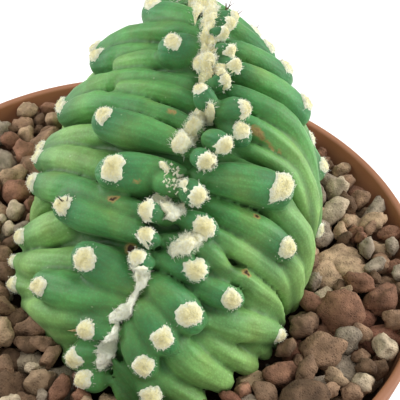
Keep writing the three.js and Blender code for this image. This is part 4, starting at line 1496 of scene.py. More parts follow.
@dataclass
class CrestFelt:
    """The felt of the growing line: a band in its groove, broken where ribs close over it.

    In front, each stretch is a trail of places in the camera's 400 by 400 picture, as column,
    row and width in millimetres. Out of the picture it follows the crest to the far end.
    The search is how far out a ray starts and how far it goes.
    """

    lens: Lens
    flanks: Flanks
    skin: Skin
    front_trails: tuple = (
        (
            (141, 265, 1.8), (144, 274, 3.0), (142, 283, 2.2), (137, 290, 1.1), (134, 298, 1.8),
            (129, 306, 2.5), (122, 312, 2.9), (115, 316, 2.6), (118, 323, 1.2), (115, 331, 1.5),
            (111, 341, 2.2), (107, 351, 3.2), (104, 360, 3.2), (105, 368, 1.6),
        ),
        (
            (215, 116, 2.2), (208, 114, 3.2), (201, 118, 3.4), (195, 125, 3.0), (190, 134, 3.1),
            (184, 141, 3.5), (177, 148, 3.3), (174, 152, 1.6),
        ),
        (
            (152, 196, 2.4), (157, 199, 3.6), (163, 203, 3.4), (168, 208, 3.0), (173, 214, 3.8),
            (174, 221, 2.0),
        ),
        ((184, 206, 2.0), (179, 210, 2.8), (175, 214, 2.0)),
        (
            (168, 252, 1.6), (173, 251, 2.9), (180, 248, 3.2), (187, 244, 3.1), (193, 240, 3.0),
            (199, 237, 2.8), (205, 237, 1.2),
        ),
        ((184, 188, 1.0), (186, 192, 1.4)),
        ((182, 179, 0.8), (184, 184, 1.8), (184, 189, 0.8)),
        ((160, 162, 1.6), (164, 167, 1.6), (168, 173, 0.9)),
        ((187, 240, 1.6), (190, 237, 2.4), (194, 236, 1.2)),
        (
            (213, 76, 1.6), (208, 74, 2.8), (206, 66, 2.8), (206, 55, 3.0), (206, 46, 2.4),
            (206, 40, 2.6), (208, 30, 2.6), (209, 22, 3.0), (211, 12, 3.2), (212, 2, 3.2),
        ),
        ((221, 76, 1.8), (219, 70, 2.2), (218, 64, 1.0)),
        ((223, 85, 1.8), (228, 84, 2.2)),
        ((226, 8, 1.4), (231, 3, 1.8)),
    )
    patch_centre: tuple = (174, 179)
    patch_reach: tuple = (11, 15)
    patch_dots: int = 34
    dot_width: float = 0.6
    far_widths: tuple = ((86, 2.6), (90, 3.4), (95, 4.0), (105, 4.4), (118, 4.2), (130, 3.0), (135, 1.0))
    step: float = 0.3
    bridging: int = 5
    sides: int = 13
    thickness: float = 1.5
    end_taper: float = 1.0
    lump_size: float = 0.8
    lump_height: float = 0.4
    edge_lumps: float = 0.3
    # The felt is whitest below this level and yellows above it: painted light low in front, older wool and
    # painted shade higher up.
    whitest_level: float = GRAVEL_TOP + 12
    yellowing_height: float = 40.0
    height_yellowing: float = 1.1
    low_whitening: float = 0.3
    age_lumps: float = 0.25
    hair: float = 0.05
    hair_age: float = 0.1
    hair_lengths: tuple = (0.4, 1.2)
    roundness: int = 4
    rise: float = 1.1
    search: tuple = (3.0, 9.0)
    up_share: float = 0.4
    edge_sizes: tuple = (1.4, 0.5)
    dot_turn: float = 2.4
    dot_widths: tuple = (0.5, 1.5)
    hair_ways: tuple = (0.4, 0.9, 0.6)
    hair_scatter: float = 0.15
    hair_sink: float = 0.1
    hairs_at_middle: float = 0.25
    hairs_per_length: float = 55.0
    seed: int = 9

    def front_stretch(self, trail: tuple) -> tuple[np.ndarray, np.ndarray, np.ndarray]:
        """Lays one trail of the camera's picture on the skin.

        Args:
            trail: its places, as column, row and width.

        Returns:
            Places, outward directions and half widths along it.
        """
        found = [(self.skin.seen(self.lens, column, row), width) for column, row, width in trail]
        found = [(hit, width) for hit, width in found if hit]
        points = np.array([hit[0] for hit, _ in found])
        outward = unit(points - self.flanks.centre)
        own = np.array([hit[1] for hit, _ in found])
        ups = unit(self.up_share * own + (1 - self.up_share) * outward)
        widths = np.array([width for _, width in found])
        gone = run_of(points)
        stops = np.linspace(0, gone[-1], max(int(gone[-1] / self.step), 4))
        line, ups = (
            np.stack([np.interp(stops, gone, values[:, k]) for k in range(3)], -1) for values in (points, ups)
        )
        ends = np.minimum(stops, stops[-1] - stops) + self.step / 2
        half = np.interp(stops, gone, widths) / 2 * np.minimum(np.sqrt(ends / self.end_taper), 1)
        return line, unit(ups), half

    def far_stretch(self) -> tuple[np.ndarray, np.ndarray, np.ndarray]:
        """Lays the stretch beyond the picture on the crest.

        Returns:
            Places, outward directions and half widths along it.
        """
        alongs = np.arange(self.far_widths[0][0], self.far_widths[-1][0], self.step)
        half = looked_up(alongs, self.far_widths) / 2
        ups = unit(sum(self.flanks.normal(side, alongs, 0.0) for side in Side))
        return self.flanks.on_crest(alongs), ups, half

    def dots(self) -> list[tuple[np.ndarray, np.ndarray, np.ndarray]]:
        """Scatters specks of new wool over the patch where young areoles crowd.

        Returns:
            One short stretch for each speck.
        """
        rng = np.random.default_rng(self.seed)
        found = []
        for number in range(self.patch_dots):
            far, angle = math.sqrt((number + 0.5) / self.patch_dots), number * self.dot_turn
            column = self.patch_centre[0] + self.patch_reach[0] * far * math.cos(angle) + rng.normal()
            row = self.patch_centre[1] + self.patch_reach[1] * far * math.sin(angle) + rng.normal()
            width = self.dot_width * rng.uniform(*self.dot_widths)
            lean = rng.uniform(-2, 2)
            ends = ((column - 1, row - lean, width), (column + 1, row + lean, width))
            found.append(self.front_stretch(ends))
        return found

    def band(self, line: np.ndarray, ups: np.ndarray, half: np.ndarray) -> tuple:
        """Shapes one stretch.

        Args:
            line: places along it.
            ups: outward directions there.
            half: half widths there.

        Returns:
            The points, the faces, and for each point its up, its way out and its half width.
        """
        wide, fine = self.edge_sizes
        sides = []
        for turn in (0, 40):
            lumpy = lumps(line, wide, self.seed + turn) + 0.8 * lumps(line, fine, turn)
            sides.append(half * (1 + self.edge_lumps * lumpy))
        across = unit(np.cross(unit(np.gradient(line, axis=0)), ups))
        turn = np.linspace(-1, 1, self.sides)
        level = np.empty((len(line), self.sides))
        spots = np.empty((len(line), self.sides, 3))
        for i in range(len(line)):
            for k, share in enumerate(turn):
                spots[i, k] = line[i] + across[i] * sides[int(share > 0)][i] * share
                hit = self.skin.hit(spots[i, k] + ups[i] * self.search[0], -ups[i], self.search[1])
                level[i, k] = (hit[0] - spots[i, k]) @ ups[i] if hit else -1.0
        window = np.ones(2 * self.bridging + 1) / (2 * self.bridging + 1)
        padded = np.pad(level, ((self.bridging, self.bridging), (0, 0)), "edge")
        bridged = np.stack([np.convolve(column, window, "valid") for column in padded.T], -1)
        level += np.maximum(bridged - level, 0) * (1 - turn**6)
        level += np.minimum(self.thickness, self.rise * half)[:, None] * felt_dome(turn, self.roundness)
        points = (spots + ups[:, None] * level[..., None]).reshape(-1, 3)
        middle = np.tile(1 - np.abs(turn), len(line)) * np.repeat(np.minimum(half, 1), self.sides)
        rough = lumps(points, self.lump_size, self.seed)
        rough += 0.7 * lumps(points, self.lump_size / 2, self.seed + 1)
        up = np.repeat(ups, self.sides, axis=0)
        points += up * (rough * self.lump_height * middle)[:, None]
        n = self.sides
        faces = [
            (i * n + k, i * n + k + 1, (i + 1) * n + k + 1, (i + 1) * n + k)
            for i in range(len(line) - 1) for k in range(n - 1)
        ]
        out = np.repeat(across, n, axis=0) * np.tile(turn, len(line))[:, None]
        return points, np.array(faces), up, out, np.repeat(half, n)

    def build(self) -> list[bpy.types.Object]:
        """Makes the felt and its hairs.

        Returns:
            The two pieces. The felt stands for the CAD wool.
        """
        rng = np.random.default_rng(self.seed)
        stretches = [self.front_stretch(trail) for trail in self.front_trails]
        stretches += [self.far_stretch()] + self.dots()
        points, faces, up, out, half = joined([self.band(*stretch) for stretch in stretches])
        # Felt colour by height: whitest low in front, which is painted light where the felt lies in shade;
        # yellower and darker higher up, partly older wool and partly painted shade.
        height = np.clip((points[:, 2] - self.whitest_level) / self.yellowing_height, 0, 1)
        age = self.height_yellowing * height - self.low_whitening + self.age_lumps * lumps(points, 3.0, self.seed + 2)
        felt = make_piece("crest_felt", points, faces, "areole_wool", age=age)
        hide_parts("crest_wool")
        count = int(self.hairs_per_length * len(points) / self.sides * self.step)
        weight = half * (self.hairs_at_middle + np.linalg.norm(out, axis=1) ** 3)
        pick = rng.choice(len(points), count, p=weight / weight.sum())
        upward, outward, toss = self.hair_ways
        ways = unit(up[pick] * upward + out[pick] * outward + rng.normal(size=(count, 3)) * toss)
        roots = points[pick] + rng.normal(size=(count, 3)) * self.hair_scatter - up[pick] * self.hair_sink
        lengths = rng.uniform(*self.hair_lengths, count) * np.clip(half[pick] * 0.8, 0.3, 1)
        strands, corners, _ = Strands(self.hair).shape(roots, ways, lengths, rng)
        ages = np.full(len(strands), self.hair_age)
        hairs = make_piece("crest_hairs", strands, corners, "areole_wool", age=ages)
        log.info("crest_felt: %d faces, crest_hairs: %d hairs", len(faces), count)
        return [felt, hairs]


# Spines and scars


class Horn(Enum):
    """Colours of the spines, from the youngest to the driest."""

    DARK = "#2c211a"
    BROWN = "#6a472b"
    TAN = "#ab8f63"


@dataclass(frozen=True)
class SpineHorn:
    """Spines: hard woody needles, dry and slightly polished.

    Their smooth bark-like surface gives a narrow dull shine along each needle.
    """

    streak: float = 0.6
    streak_tone: tuple = (0.3, 0.7, 0.75, 1.25)

    def material(self) -> bpy.types.Material:
        """Makes the shader."""
        s = Shading("spine_horn")
        light = s.spread(s.noise(self.streak, 3.0), *self.streak_tone)
        return s.finished({"Base Color": s.times(s.stored("tint", "Color"), light), "Roughness": 0.38})


@dataclass
class Spines:
    """The few short spines, in the areoles that still have them.

    Each bunch in the camera's picture is a column, a row, how many spines, their length in
    millimetres, how far they spread, the direction that they lean to, and their colour.
    """

    lens: Lens
    skin: Skin
    bunches: tuple = (
        (65, 203, 7, 2.8, 0.7, (-0.4, 0.2, 0.8), Horn.DARK),
        (141, 275, 2, 4.6, 0.12, (-1.0, 0.05, 0.15), Horn.BROWN),
        (326, 204, 5, 3.4, 0.35, (0.4, 0.3, 1.0), Horn.TAN),
        (226, 10, 4, 3.2, 0.35, (0.0, 0.1, 1.0), Horn.BROWN),
        (78, 332, 3, 2.6, 0.4, (-1.0, -0.2, 0.3), Horn.TAN),
        (258, 30, 3, 2.4, 0.4, (0.5, 0.2, 1.0), Horn.TAN),
    )
    scatter: float = 0.3
    length_shares: tuple = (0.6, 1.1)
    every: int = 5
    behind: float = 20.0
    lengths_behind: tuple = (2.0, 3.2)
    splay: float = 0.4
    splay_toss: float = 0.1
    taper: float = 0.8
    taper_power: float = 1.5
    radius: float = 0.13
    sides: int = 6
    rings: int = 6
    bend: float = 0.12
    sink: float = 0.3
    seed: int = 21

    def needle(self, foot: np.ndarray, way: np.ndarray, length: float, rng: Random) -> tuple:
        """Shapes one spine.

        Args:
            foot: where it starts.
            way: its direction.
            length: its length.
            rng: the source of random numbers.

        Returns:
            The points and the faces.
        """
        way = unit(way)
        first = unit(np.cross(way, rng.normal(size=3)))
        second = np.cross(way, first)
        points = []
        for ring in range(self.rings):
            t = ring / self.rings
            middle = foot + way * length * t + first * self.bend * length * t * t
            thick = self.radius * (1 - self.taper * t**self.taper_power)
            for k in range(self.sides):
                a = 2 * math.pi * k / self.sides
                points.append(middle + thick * (math.cos(a) * first + math.sin(a) * second))
        points.append(foot + way * length + first * self.bend * length)
        tip = fan(len(points) - 1, len(points) - 1 - self.sides, self.sides)
        return np.array(points), np.concatenate([halved(ring_faces(0, self.rings, self.sides)), tip])

    def build(self, seats: list[Seat]) -> bpy.types.Object:
        """Makes the spines of the picture's bunches, and pairs on every few areoles behind.

        Args:
            seats: where the areoles sit.

        Returns:
            The piece.
        """
        rng = np.random.default_rng(self.seed)
        planned = []
        for column, row, count, length, spread, lean, tint in self.bunches:
            hit = self.skin.seen(self.lens, column, row)
            if hit:
                for _ in range(count):
                    way = unit(np.array(lean) + hit[1] * 0.5) + rng.normal(size=3) * spread
                    foot = hit[0] + rng.normal(size=3) * self.scatter
                    planned.append((foot, way, length * rng.uniform(*self.length_shares), tint))
        for seat in seats[:: self.every]:
            if seat.centre[1] > self.behind:
                for turn in (-1, 1):
                    way = seat.up + seat.across * turn * self.splay + rng.normal(size=3) * self.splay_toss
                    planned.append((seat.centre, way, rng.uniform(*self.lengths_behind), Horn.BROWN))
        points, faces, tints = joined([
            painted(self.needle(foot - unit(way) * self.sink, way, length, rng), tint.value)
            for foot, way, length, tint in planned
        ])
        piece = make_piece("spines", points, faces, "areole_wool", tint=tints)
        log.info("spines: %d", len(planned))
        return piece


@dataclass
class Scars:
    """Healed wounds of the skin, each a column and row of the camera's picture and a radius."""

    lens: Lens
    skin: Skin
    wounds: tuple = (
        (110, 199, 0.5), (113, 199, 0.6), (116, 198, 0.5), (131, 249, 1.2), (257, 216, 0.7), (246, 272, 0.8),
        (249, 275, 0.5),
    )
    cork: tuple = (
        (253, 129, 0.7), (256, 131, 0.9), (259, 134, 0.8), (262, 138, 0.6), (266, 142, 0.45), (270, 146, 0.4),
        (274, 149, 0.4), (279, 152, 0.4), (170, 111, 0.5), (174, 112, 0.5), (137, 182, 0.4), (184, 248, 0.3),
    )
    cork_share: float = 0.5
    soft_edge: float = 1.3

    def mark(self, piece: bpy.types.Object) -> None:
        """Stores how deep in a scar each corner of the stem lies.

        Args:
            piece: the stem.
        """
        points = self.skin.points
        depth = np.zeros(len(points))
        for places, most in ((self.wounds, 1.0), (self.cork, self.cork_share)):
            for column, row, radius in places:
                hit = self.skin.seen(self.lens, column, row)
                if hit:
                    gap = np.linalg.norm(points - hit[0], axis=1)
                    depth = np.maximum(depth, np.clip(self.soft_edge - gap / radius, 0, most))
        give_values(piece, "scar", depth)


# Gravel


class Tint(Enum):
    """Colours of the crushed lava and pumice in the dressing."""

    BROWN = "#8e725a"
    DARK_BROWN = "#6e5743"
    RED_BROWN = "#8b6650"
    TAN = "#a98f72"
    GREY = "#988a77"
    CREAM = "#b8a78c"
    REDDISH = "#845c49"
    PALE = "#cfc8ba"


@dataclass
class Stone:
    """One stone of the dressing."""

    place: np.ndarray
    radius: float
    shape: np.ndarray
    turn: np.ndarray
    tint: Tint
    number: int


@dataclass(frozen=True)
class PorousStone:
    """Crushed lava and pumice: frothy volcanic rock, broken and tumbled.

    Its gas bubbles leave open pores, so it has no gloss; its pits are painted darker, as painted
    shade, and it is mottled in dusty lumps.
    """

    pore: float = 0.7
    grit: float = 0.28
    mottle: float = 2.4
    mottle_tone: tuple = (0.3, 0.7, 0.62, 1.4)
    pore_range: tuple = (0.12, 0.42, 0.0, 1.0)
    pit_shade: tuple = (0.0, 1.0, 0.8, 1.03)
    relief: tuple = (0.9, 0.35)

    def material(self) -> bpy.types.Material:
        """Makes the shader."""
        s = Shading("porous_stone")
        toned = s.times(s.stored("tint", "Color"), s.spread(s.noise(self.mottle, 5.0), *self.mottle_tone))
        pores = s.spread(s.cells(self.pore), *self.pore_range)
        return s.finished({
            # The pits are darkened: painted shade.
            "Base Color": s.times(toned, s.spread(pores, *self.pit_shade)),
            "Normal": s.bump(s.maths("MULTIPLY", pores, s.noise(self.grit, 3.0)), *self.relief),
            "Roughness": 0.92,
            "Specular IOR Level": 0.25,
        })


@dataclass
class GravelDressing:
    """The loose stones on the soil, settled one on another between pot and stem."""

    lens: Lens
    skin: Skin
    inner_radius: float = 62.2
    floor: float = 101.5
    ceiling: float = 110.0
    radii: tuple = (2.1, 4.9)
    count: int = 760
    small_radii: tuple = (1.3, 2.1)
    small_count: int = 260
    tries: int = 40
    seed: int = 3
    weights: tuple = (0.28, 0.17, 0.2, 0.14, 0.12, 0.07, 0.02, 0.0)
    large: tuple = (
        (341, 262, 5.6, 4.6, 20, Tint.TAN), (353, 277, 5.0, 4.0, -30, Tint.TAN),
        (328, 277, 5.2, 4.0, 60, Tint.TAN), (329, 303, 3.9, 3.3, 10, Tint.CREAM),
        (389, 342, 5.2, 2.9, 12, Tint.REDDISH), (376, 250, 4.6, 2.8, -10, Tint.TAN),
        (343, 374, 4.9, 3.4, -20, Tint.GREY), (293, 352, 3.4, 2.8, 80, Tint.REDDISH),
        (42, 97, 2.6, 2.1, 40, Tint.PALE), (322, 340, 3.8, 2.6, 70, Tint.RED_BROWN),
        (375, 190, 3.6, 2.7, -25, Tint.RED_BROWN), (34, 365, 4.2, 3.0, -35, Tint.CREAM),
        (12, 360, 3.6, 3.2, 0, Tint.DARK_BROWN), (8, 235, 3.4, 2.4, 45, Tint.CREAM),
        (360, 318, 3.9, 2.8, 40, Tint.REDDISH), (302, 322, 2.9, 2.4, 20, Tint.TAN),
        (30, 110, 3.4, 2.4, 10, Tint.BROWN), (20, 320, 3.6, 2.6, 60, Tint.DARK_BROWN),
        (352, 225, 3.9, 2.9, -50, Tint.TAN), (384, 288, 4.2, 3.0, 30, Tint.BROWN),
        (320, 388, 3.4, 2.5, 0, Tint.GREY), (252, 384, 3.2, 2.7, 0, Tint.TAN),
    )
    large_height: float = 0.8
    large_level: float = 106.2
    large_number: int = 2000
    stem_centre: tuple = (5.5, 4.0)
    margins: tuple = (0.55, 0.3)
    nesting: float = 0.9
    tint_shift: float = 0.16
    tint_step: float = 12.9
    search: tuple = (75.0, 70.0)
    size_bias: float = 1.3
    wall_gap: float = 0.4
    proportions: tuple = ((1.1, 1.5), (0.85, 1.1), (0.7, 0.95))
    roughness: tuple = ((0.34, 0.9, 0), (0.22, 0.42, 500))
    pits: float = 0.4
    pit_number: int = 900
    headings: int = 90
    levels: tuple = (101.0, 103.0, 105.0, 107.0, 109.0)

    def stem_edge(self) -> np.ndarray:
        """Measures how far the stem reaches out over the gravel.

        Returns:
            Its reach in each direction round it.
        """
        centre = np.array([*self.stem_centre, 0.0])
        edge = np.zeros(self.headings)
        for k in range(self.headings):
            a = 2 * math.pi * k / self.headings
            out = np.array([math.cos(a), math.sin(a), 0.0])
            for level in self.levels:
                hit = self.skin.hit(centre + out * self.search[0] + (0, 0, level), -out, self.search[1])
                if hit:
                    edge[k] = max(edge[k], float(np.linalg.norm((hit[0] - centre)[:2])))
        return edge

    def large_stones(self) -> list[Stone]:
        """The largest stones, each where the camera's picture shows it.

        Each is a column, a row, half its length and half its breadth in millimetres, its
        turn in degrees from the camera's right, and its colour.

        Returns:
            The stones.
        """
        made = []
        eye = np.array(self.lens.eye)
        for number, (column, row, length, breadth, turn, tint) in enumerate(self.large):
            way = np.array(self.lens.ray(column, row))
            place = eye + way * (self.large_level - eye[2]) / way[2]
            place[:2] *= min(1, (self.inner_radius - length) / np.linalg.norm(place[:2]))
            shape = np.array([length, breadth, breadth * self.large_height]) / breadth
            half = math.radians(turn) / 2
            turned = np.array([math.cos(half), 0, 0, math.sin(half)])
            made.append(Stone(place, breadth, shape, turned, tint, self.large_number + number))
        return made

    def settle(self) -> list[Stone]:
        """Drops stones one by one, each where it comes to lie lowest.

        Returns:
            The stones that lie under the ceiling.
        """
        rng = np.random.default_rng(self.seed)
        edge = self.stem_edge()
        centre = np.array(self.stem_centre)
        tints = list(Tint)
        stones = self.large_stones()
        spots = np.array([[*stone.place, stone.radius * (1 + stone.shape[0]) / 2] for stone in stones])
        for number in range(self.count + self.small_count):
            least, most = self.radii if number < self.count else self.small_radii
            radius = least + (most - least) * rng.random() ** self.size_bias
            far = np.sqrt(rng.random(self.tries)) * (self.inner_radius - radius - self.wall_gap)
            angle = rng.random(self.tries) * 2 * math.pi
            flat = np.stack([far * np.cos(angle), far * np.sin(angle)], -1)
            away = flat - centre
            heading = np.mod(np.arctan2(away[:, 1], away[:, 0]) / (2 * math.pi), 1) * self.headings
            nearby = [edge[(heading.astype(int) + k) % self.headings] for k in (-1, 0, 1)]
            needed = np.max(nearby, axis=0) + radius * self.margins[number >= self.count]
            flat = flat[np.linalg.norm(away, axis=1) > needed]
            if not len(flat):
                continue
            gap = np.linalg.norm(flat[:, None] - spots[None, :, :2], axis=-1)
            touch = (radius + spots[:, 3]) * self.nesting
            over = np.sqrt(np.maximum(touch**2 - gap**2, 0)) + spots[:, 2]
            rest = np.maximum(self.floor + radius, np.where(gap < touch, over, 0).max(1))
            best = int(rest.argmin())
            if rest[best] > self.ceiling:
                continue
            place = np.array([*flat[best], rest[best]])
            spots = np.vstack([spots, [*place, radius]])
            shape = np.array([rng.uniform(*pair) for pair in self.proportions])
            tint = tints[rng.choice(len(tints), p=self.weights)]
            stones.append(Stone(place, radius, shape, rng.normal(size=4), tint, number))
        return stones

    def mesh_of(self, stone: Stone) -> tuple[np.ndarray, np.ndarray]:
        """Shapes one lumpy stone from a fine ball.

        Args:
            stone: its place, size and number.

        Returns:
            The points and the faces.
        """
        ball, faces = self.ball
        size = stone.radius
        rough = 1 + self.pits / size * lumps(ball * size, 1.0, stone.number + self.pit_number)
        for height, breadth, shift in self.roughness:
            rough += height * lumps(ball * size, size * breadth, stone.number + shift)
        turn = np.array(Quaternion(stone.turn).normalized().to_matrix())
        points = (ball * rough[:, None] * stone.shape * size) @ turn.T
        return points + stone.place, faces

    def build(self) -> list[bpy.types.Object]:
        """Makes the stones, joined by their tints.

        Returns:
            One piece for each tint.
        """
        made = bmesh.new()
        bmesh.ops.create_icosphere(made, subdivisions=3, radius=1.0)
        self.ball = (
            np.array([v.co for v in made.verts]),
            np.array([[v.index for v in f.verts] for f in made.faces]),
        )
        made.free()
        stones = self.settle()
        pieces = []
        for tint in Tint:
            own = [s for s in stones if s.tint == tint]
            shifts = [1 + self.tint_shift * math.sin(stone.number * self.tint_step) for stone in own]
            points, faces, tints = joined([
                painted(self.mesh_of(stone), tint.value, shift) for stone, shift in zip(own, shifts)
            ])
            name = f"gravel_{tint.name.lower()}"
            piece = make_piece(name, points, faces, "gravel", tint=tints)
            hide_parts("gravel_dressing")
            pieces.append(piece)
            log.info("%s: %d stones", name, len(own))
        return pieces


# Pot


@dataclass(frozen=True)
class MouldedPolypropylene:
    """Terracotta-coloured polypropylene, injection moulded in a finely etched mould.

    The etched mould leaves a fine even grain that breaks up the highlights, and the pigment
    is a little uneven. The inside of the lip is painted darker and greyer, most at its foot:
    painted shade on the inner wall.
    """

    colour: str = "#8f5b3b"
    faded: str = "#a06c49"
    dust_and_shade: str = "#7d6450"
    grain: float = 0.35
    cloud: float = 18.0
    fading: tuple = (0.35, 0.65, 0.0, 0.6)
    shade_low: float = GRAVEL_TOP - 12
    shade_high: float = POT_HEIGHT - 0.5
    shade_share: float = 0.8
    lip_low: float = POT_HEIGHT - 20
    inside: tuple = (RIM_RADIUS - 2.4, RIM_RADIUS - 2.0)
    relief: tuple = (0.4, 0.05)

    def material(self) -> bpy.types.Material:
        """Makes the shader."""
        s = Shading("moulded_polypropylene")
        body = s.mixed(s.spread(s.noise(self.cloud, 3.0), *self.fading), linear(self.colour), self.faded)
        parts = s.add("SeparateXYZ", {"Vector": s.place}).outputs
        # Painted shade: the inside of the lip is darker towards its foot.
        level = s.spread(parts["Z"], self.shade_low * MM, self.shade_high * MM, self.shade_share, 0.0)
        level = s.maths("MULTIPLY", level, s.maths("GREATER_THAN", parts["Z"], self.lip_low * MM))
        flat = s.add("CombineXYZ", {"X": parts["X"], "Y": parts["Y"]}).outputs[0]
        radius = s.add("VectorMath", {0: flat}, operation="LENGTH").outputs["Value"]
        inside = s.spread(radius, self.inside[0] * MM, self.inside[1] * MM, 1.0, 0.0)
        return s.finished({
            "Base Color": s.mixed(s.maths("MULTIPLY", level, inside), body, self.dust_and_shade),
            "Normal": s.bump(s.noise(self.grain, 2.0), *self.relief),
            "Roughness": 0.55,
            "IOR": 1.49,
        })


@dataclass(frozen=True)
class PottingMix:
    """Peat-based potting mix: dark damp crumbs with a few pale grains of pumice.

    It is matt and uneven, with crumbs of about a millimetre.
    """

    colours: tuple = ((0.3, "#2a1f17"), (0.7, "#4d3a2b"))
    pumice: str = "#a89c88"
    crumb: float = 1.4
    cloud: float = 2.8
    grain: float = 4.0
    grain_range: tuple = (0.1, 0.16, 1.0, 0.0)
    relief: tuple = (0.9, 0.5)

    def material(self) -> bpy.types.Material:
        """Makes the shader."""
        s = Shading("potting_mix_crumbs")
        body = s.ramp(s.noise(self.cloud, 5.0), self.colours)
        return s.finished({
            "Base Color": s.mixed(s.spread(s.cells(self.grain), *self.grain_range), body, self.pumice),
            "Normal": s.bump(s.cells(self.crumb), *self.relief),
            "Roughness": 0.95,
            "Specular IOR Level": 0.2,
        })

    def dress(self, mix: bpy.types.Object) -> None:
        """Gives the soil of the CAD model its material."""
        mix.data.materials.clear()
        mix.data.materials.append(self.material())


@dataclass
class Pot:
    """The pot: a tapered tub with a deep upright lip round its top."""

    height: float = POT_HEIGHT
    rim_radius: float = RIM_RADIUS
    base_radius: float = 45.0
    base_chamfer: float = 1.2
    shoulder_height: float = 90.0
    shoulder_radius: float = 60.8
    lip_foot_radius: float = 63.2
    rim_round: float = 0.7
    wall: float = 2.2
    floor: float = 2.6
    sides: int = 180
    drain_count: int = 6
    drain_circle: float = 32.0
    drain_radius: float = 4.0
    drain_sides: int = 32

    def profile(self) -> list[tuple[float, float]]:
        """The outline of the pot's section, as radius and height, from outside to inside."""
        slope = (self.shoulder_radius - self.base_radius) / self.shoulder_height
        ledge = self.shoulder_height + self.wall
        lip = self.lip_foot_radius + (self.rim_radius - self.lip_foot_radius) * self.wall / (
            self.height - self.shoulder_height
        )
        outline = [
            (0, 0),
            (self.base_radius - self.base_chamfer, 0),
            (self.base_radius + slope * self.base_chamfer, self.base_chamfer),
            (self.shoulder_radius, self.shoulder_height),
            (self.lip_foot_radius, self.shoulder_height),
        ]
        for middle, turns in (
            (self.rim_radius - self.rim_round, (0, 30, 60, 90)),
            (self.rim_radius - self.wall + self.rim_round, (90, 120, 150, 180)),
        ):
            for a in map(math.radians, turns):
                level = self.height - self.rim_round * (1 - math.sin(a))
                outline.append((middle + self.rim_round * math.cos(a), level))
        return outline + [
            (lip - self.wall, ledge),
            (self.base_radius + slope * ledge - self.wall, ledge),
            (self.base_radius + slope * self.floor - self.wall, self.floor),
            (0, self.floor),
        ]

    def build(self) -> bpy.types.Object:
        """Turns the section round the axis.

        Returns:
            The pot, which stands for the CAD pot.
        """
        outline = self.profile()
        points = [(0.0, 0.0, outline[0][1])]
        for radius, z in outline[1:-1]:
            for k in range(self.sides):
                a = 2 * math.pi * k / self.sides
                points.append((radius * math.cos(a), radius * math.sin(a), z))
        points.append((0.0, 0.0, outline[-1][1]))
        last = len(points) - 1
        faces = ring_faces(1, len(outline) - 2, self.sides).tolist()
        faces += fan(0, 1, self.sides)[:, ::-1].tolist() + fan(last, last - self.sides, self.sides).tolist()
        piece = self.drained(make_piece("pot_shell", np.array(points), faces, "pot_plastic"))
        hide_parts("pot")
        log.info("pot_shell: %d faces", len(piece.data.polygons))
        return piece

    def drained(self, shell: bpy.types.Object) -> bpy.types.Object:
        """Cuts the drain holes through the floor.

        Args:
            shell: the pot without holes.

        Returns:
            The same pot with them.
        """
        cutter = bmesh.new()
        for hole in range(self.drain_count):
            a = 2 * math.pi * hole / self.drain_count
            made = bmesh.ops.create_cone(
                cutter, cap_ends=True, segments=self.drain_sides, radius1=self.drain_radius * MM,
                radius2=self.drain_radius * MM, depth=4 * self.floor * MM,
            )
            shift = Vector((math.cos(a), math.sin(a), 0)) * self.drain_circle * MM
            bmesh.ops.translate(cutter, verts=made["verts"], vec=shift)
        mesh = bpy.data.meshes.new("drain_cutter")
        cutter.to_mesh(mesh)
        cutter.free()
        tool = add_object("drain_cutter", mesh)
        cut = shell.modifiers.new("drains", "BOOLEAN")
        cut.object = tool
        cut.operation = "DIFFERENCE"
        cut.solver = "EXACT"
        bpy.context.view_layer.update()
        done = bpy.data.meshes.new_from_object(shell.evaluated_get(bpy.context.evaluated_depsgraph_get()))
        shell.modifiers.clear()
        shell.data = done
        bpy.data.objects.remove(tool)
        return shell


# Studio


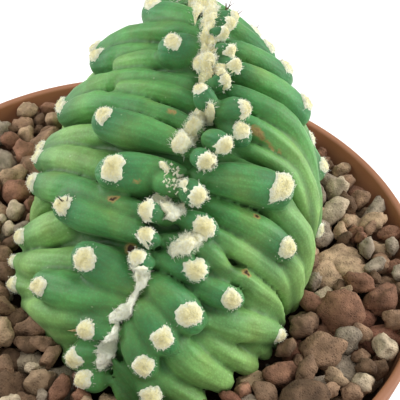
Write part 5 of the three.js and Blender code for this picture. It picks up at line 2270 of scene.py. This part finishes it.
@dataclass
class Studio:
    """A white table in soft daylight, and the camera."""

    lens: Lens
    floor_size: float = 3000.0
    sensor: float = 36.0
    nearest: float = 0.01
    white: str = "#fbfbfb"
    sky_strength: float = 0.56
    aim: tuple = (0, 0, 0.12)
    lamps: tuple = (
        ((-0.7, 0.2, 0.42), 0.6, 4.6), ((0.7, 0.2, 0.45), 0.6, 6.4), ((0.1, 0.3, 0.9), 0.6, 2.2),
        ((0.0, -0.9, 0.6), 0.6, 1.3),
    )

    def place_camera(self) -> None:
        """Sets the camera at the photograph's viewing angle."""
        data = bpy.data.cameras.new("camera")
        data.sensor_width = self.sensor
        data.lens = self.sensor / 2 / math.tan(math.radians(self.lens.field_of_view / 2))
        data.clip_start = self.nearest
        camera = add_object("camera", data)
        right, up, ahead = self.lens.axes()
        turn = Matrix((right, up, -ahead)).transposed()
        camera.matrix_world = Matrix.Translation(Vector(self.lens.eye) * MM) @ turn.to_4x4()
        bpy.context.scene.camera = camera

    def light(self) -> None:
        """Adds the sky's even light and the soft lamps on both sides and above."""
        world = bpy.data.worlds.new("sky")
        world.use_nodes = True
        sky = world.node_tree.nodes["Background"]
        sky.inputs["Color"].default_value = (1, 1, 1, 1)
        sky.inputs["Strength"].default_value = self.sky_strength
        bpy.context.scene.world = world
        for number, (place, size, energy) in enumerate(self.lamps):
            data = bpy.data.lights.new(f"softbox_{number}", "AREA")
            data.size = size
            data.energy = energy
            lamp = add_object(data.name, data)
            lamp.location = place
            aim = Vector(self.aim) - lamp.location
            lamp.rotation_euler = aim.to_track_quat("-Z", "Y").to_euler()
        bpy.context.scene.view_settings.view_transform = "Standard"

    def lay_floor(self) -> None:
        """Lays the white table top."""
        half = self.floor_size * MM / 2
        mesh = bpy.data.meshes.new("table_top")
        corners = [(-half, -half, 0), (half, -half, 0), (half, half, 0), (-half, half, 0)]
        mesh.from_pydata(corners, [], [(0, 1, 2, 3)])
        laminate = Shading("white_laminate").finished({"Base Color": linear(self.white), "Roughness": 0.6})
        mesh.materials.append(laminate)
        add_object("table_top", mesh)


def main() -> None:
    """Builds the plant, its pot and the studio."""
    logging.basicConfig(level=logging.INFO, format="%(name)s: %(message)s")
    lens = Lens()
    flanks = Flanks()
    maker = Stem(flanks)
    stem = maker.build()
    skin = Skin(stem)
    cushions = Cushions(flanks, skin)
    seats = cushions.seats(maker.ribs)
    maker.shade_round(stem, skin.points, seats)
    Scars(lens, skin).mark(stem)
    stem.data.materials.append(WaxySkin().material())
    felt = WoolFelt().material()
    for piece in cushions.build(seats) + CrestFelt(lens, flanks, skin).build():
        piece.data.materials.append(felt)
    Spines(lens, skin).build(seats).data.materials.append(SpineHorn().material())
    stone = PorousStone().material()
    for piece in GravelDressing(lens, skin).build():
        piece.data.materials.append(stone)
    pot = Pot().build()
    pot.data.materials.clear()
    pot.data.materials.append(MouldedPolypropylene().material())
    PottingMix().dress(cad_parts["potting_mix"])
    studio = Studio(lens)
    studio.place_camera()
    studio.light()
    studio.lay_floor()


if __name__ == "__main__":
    main()
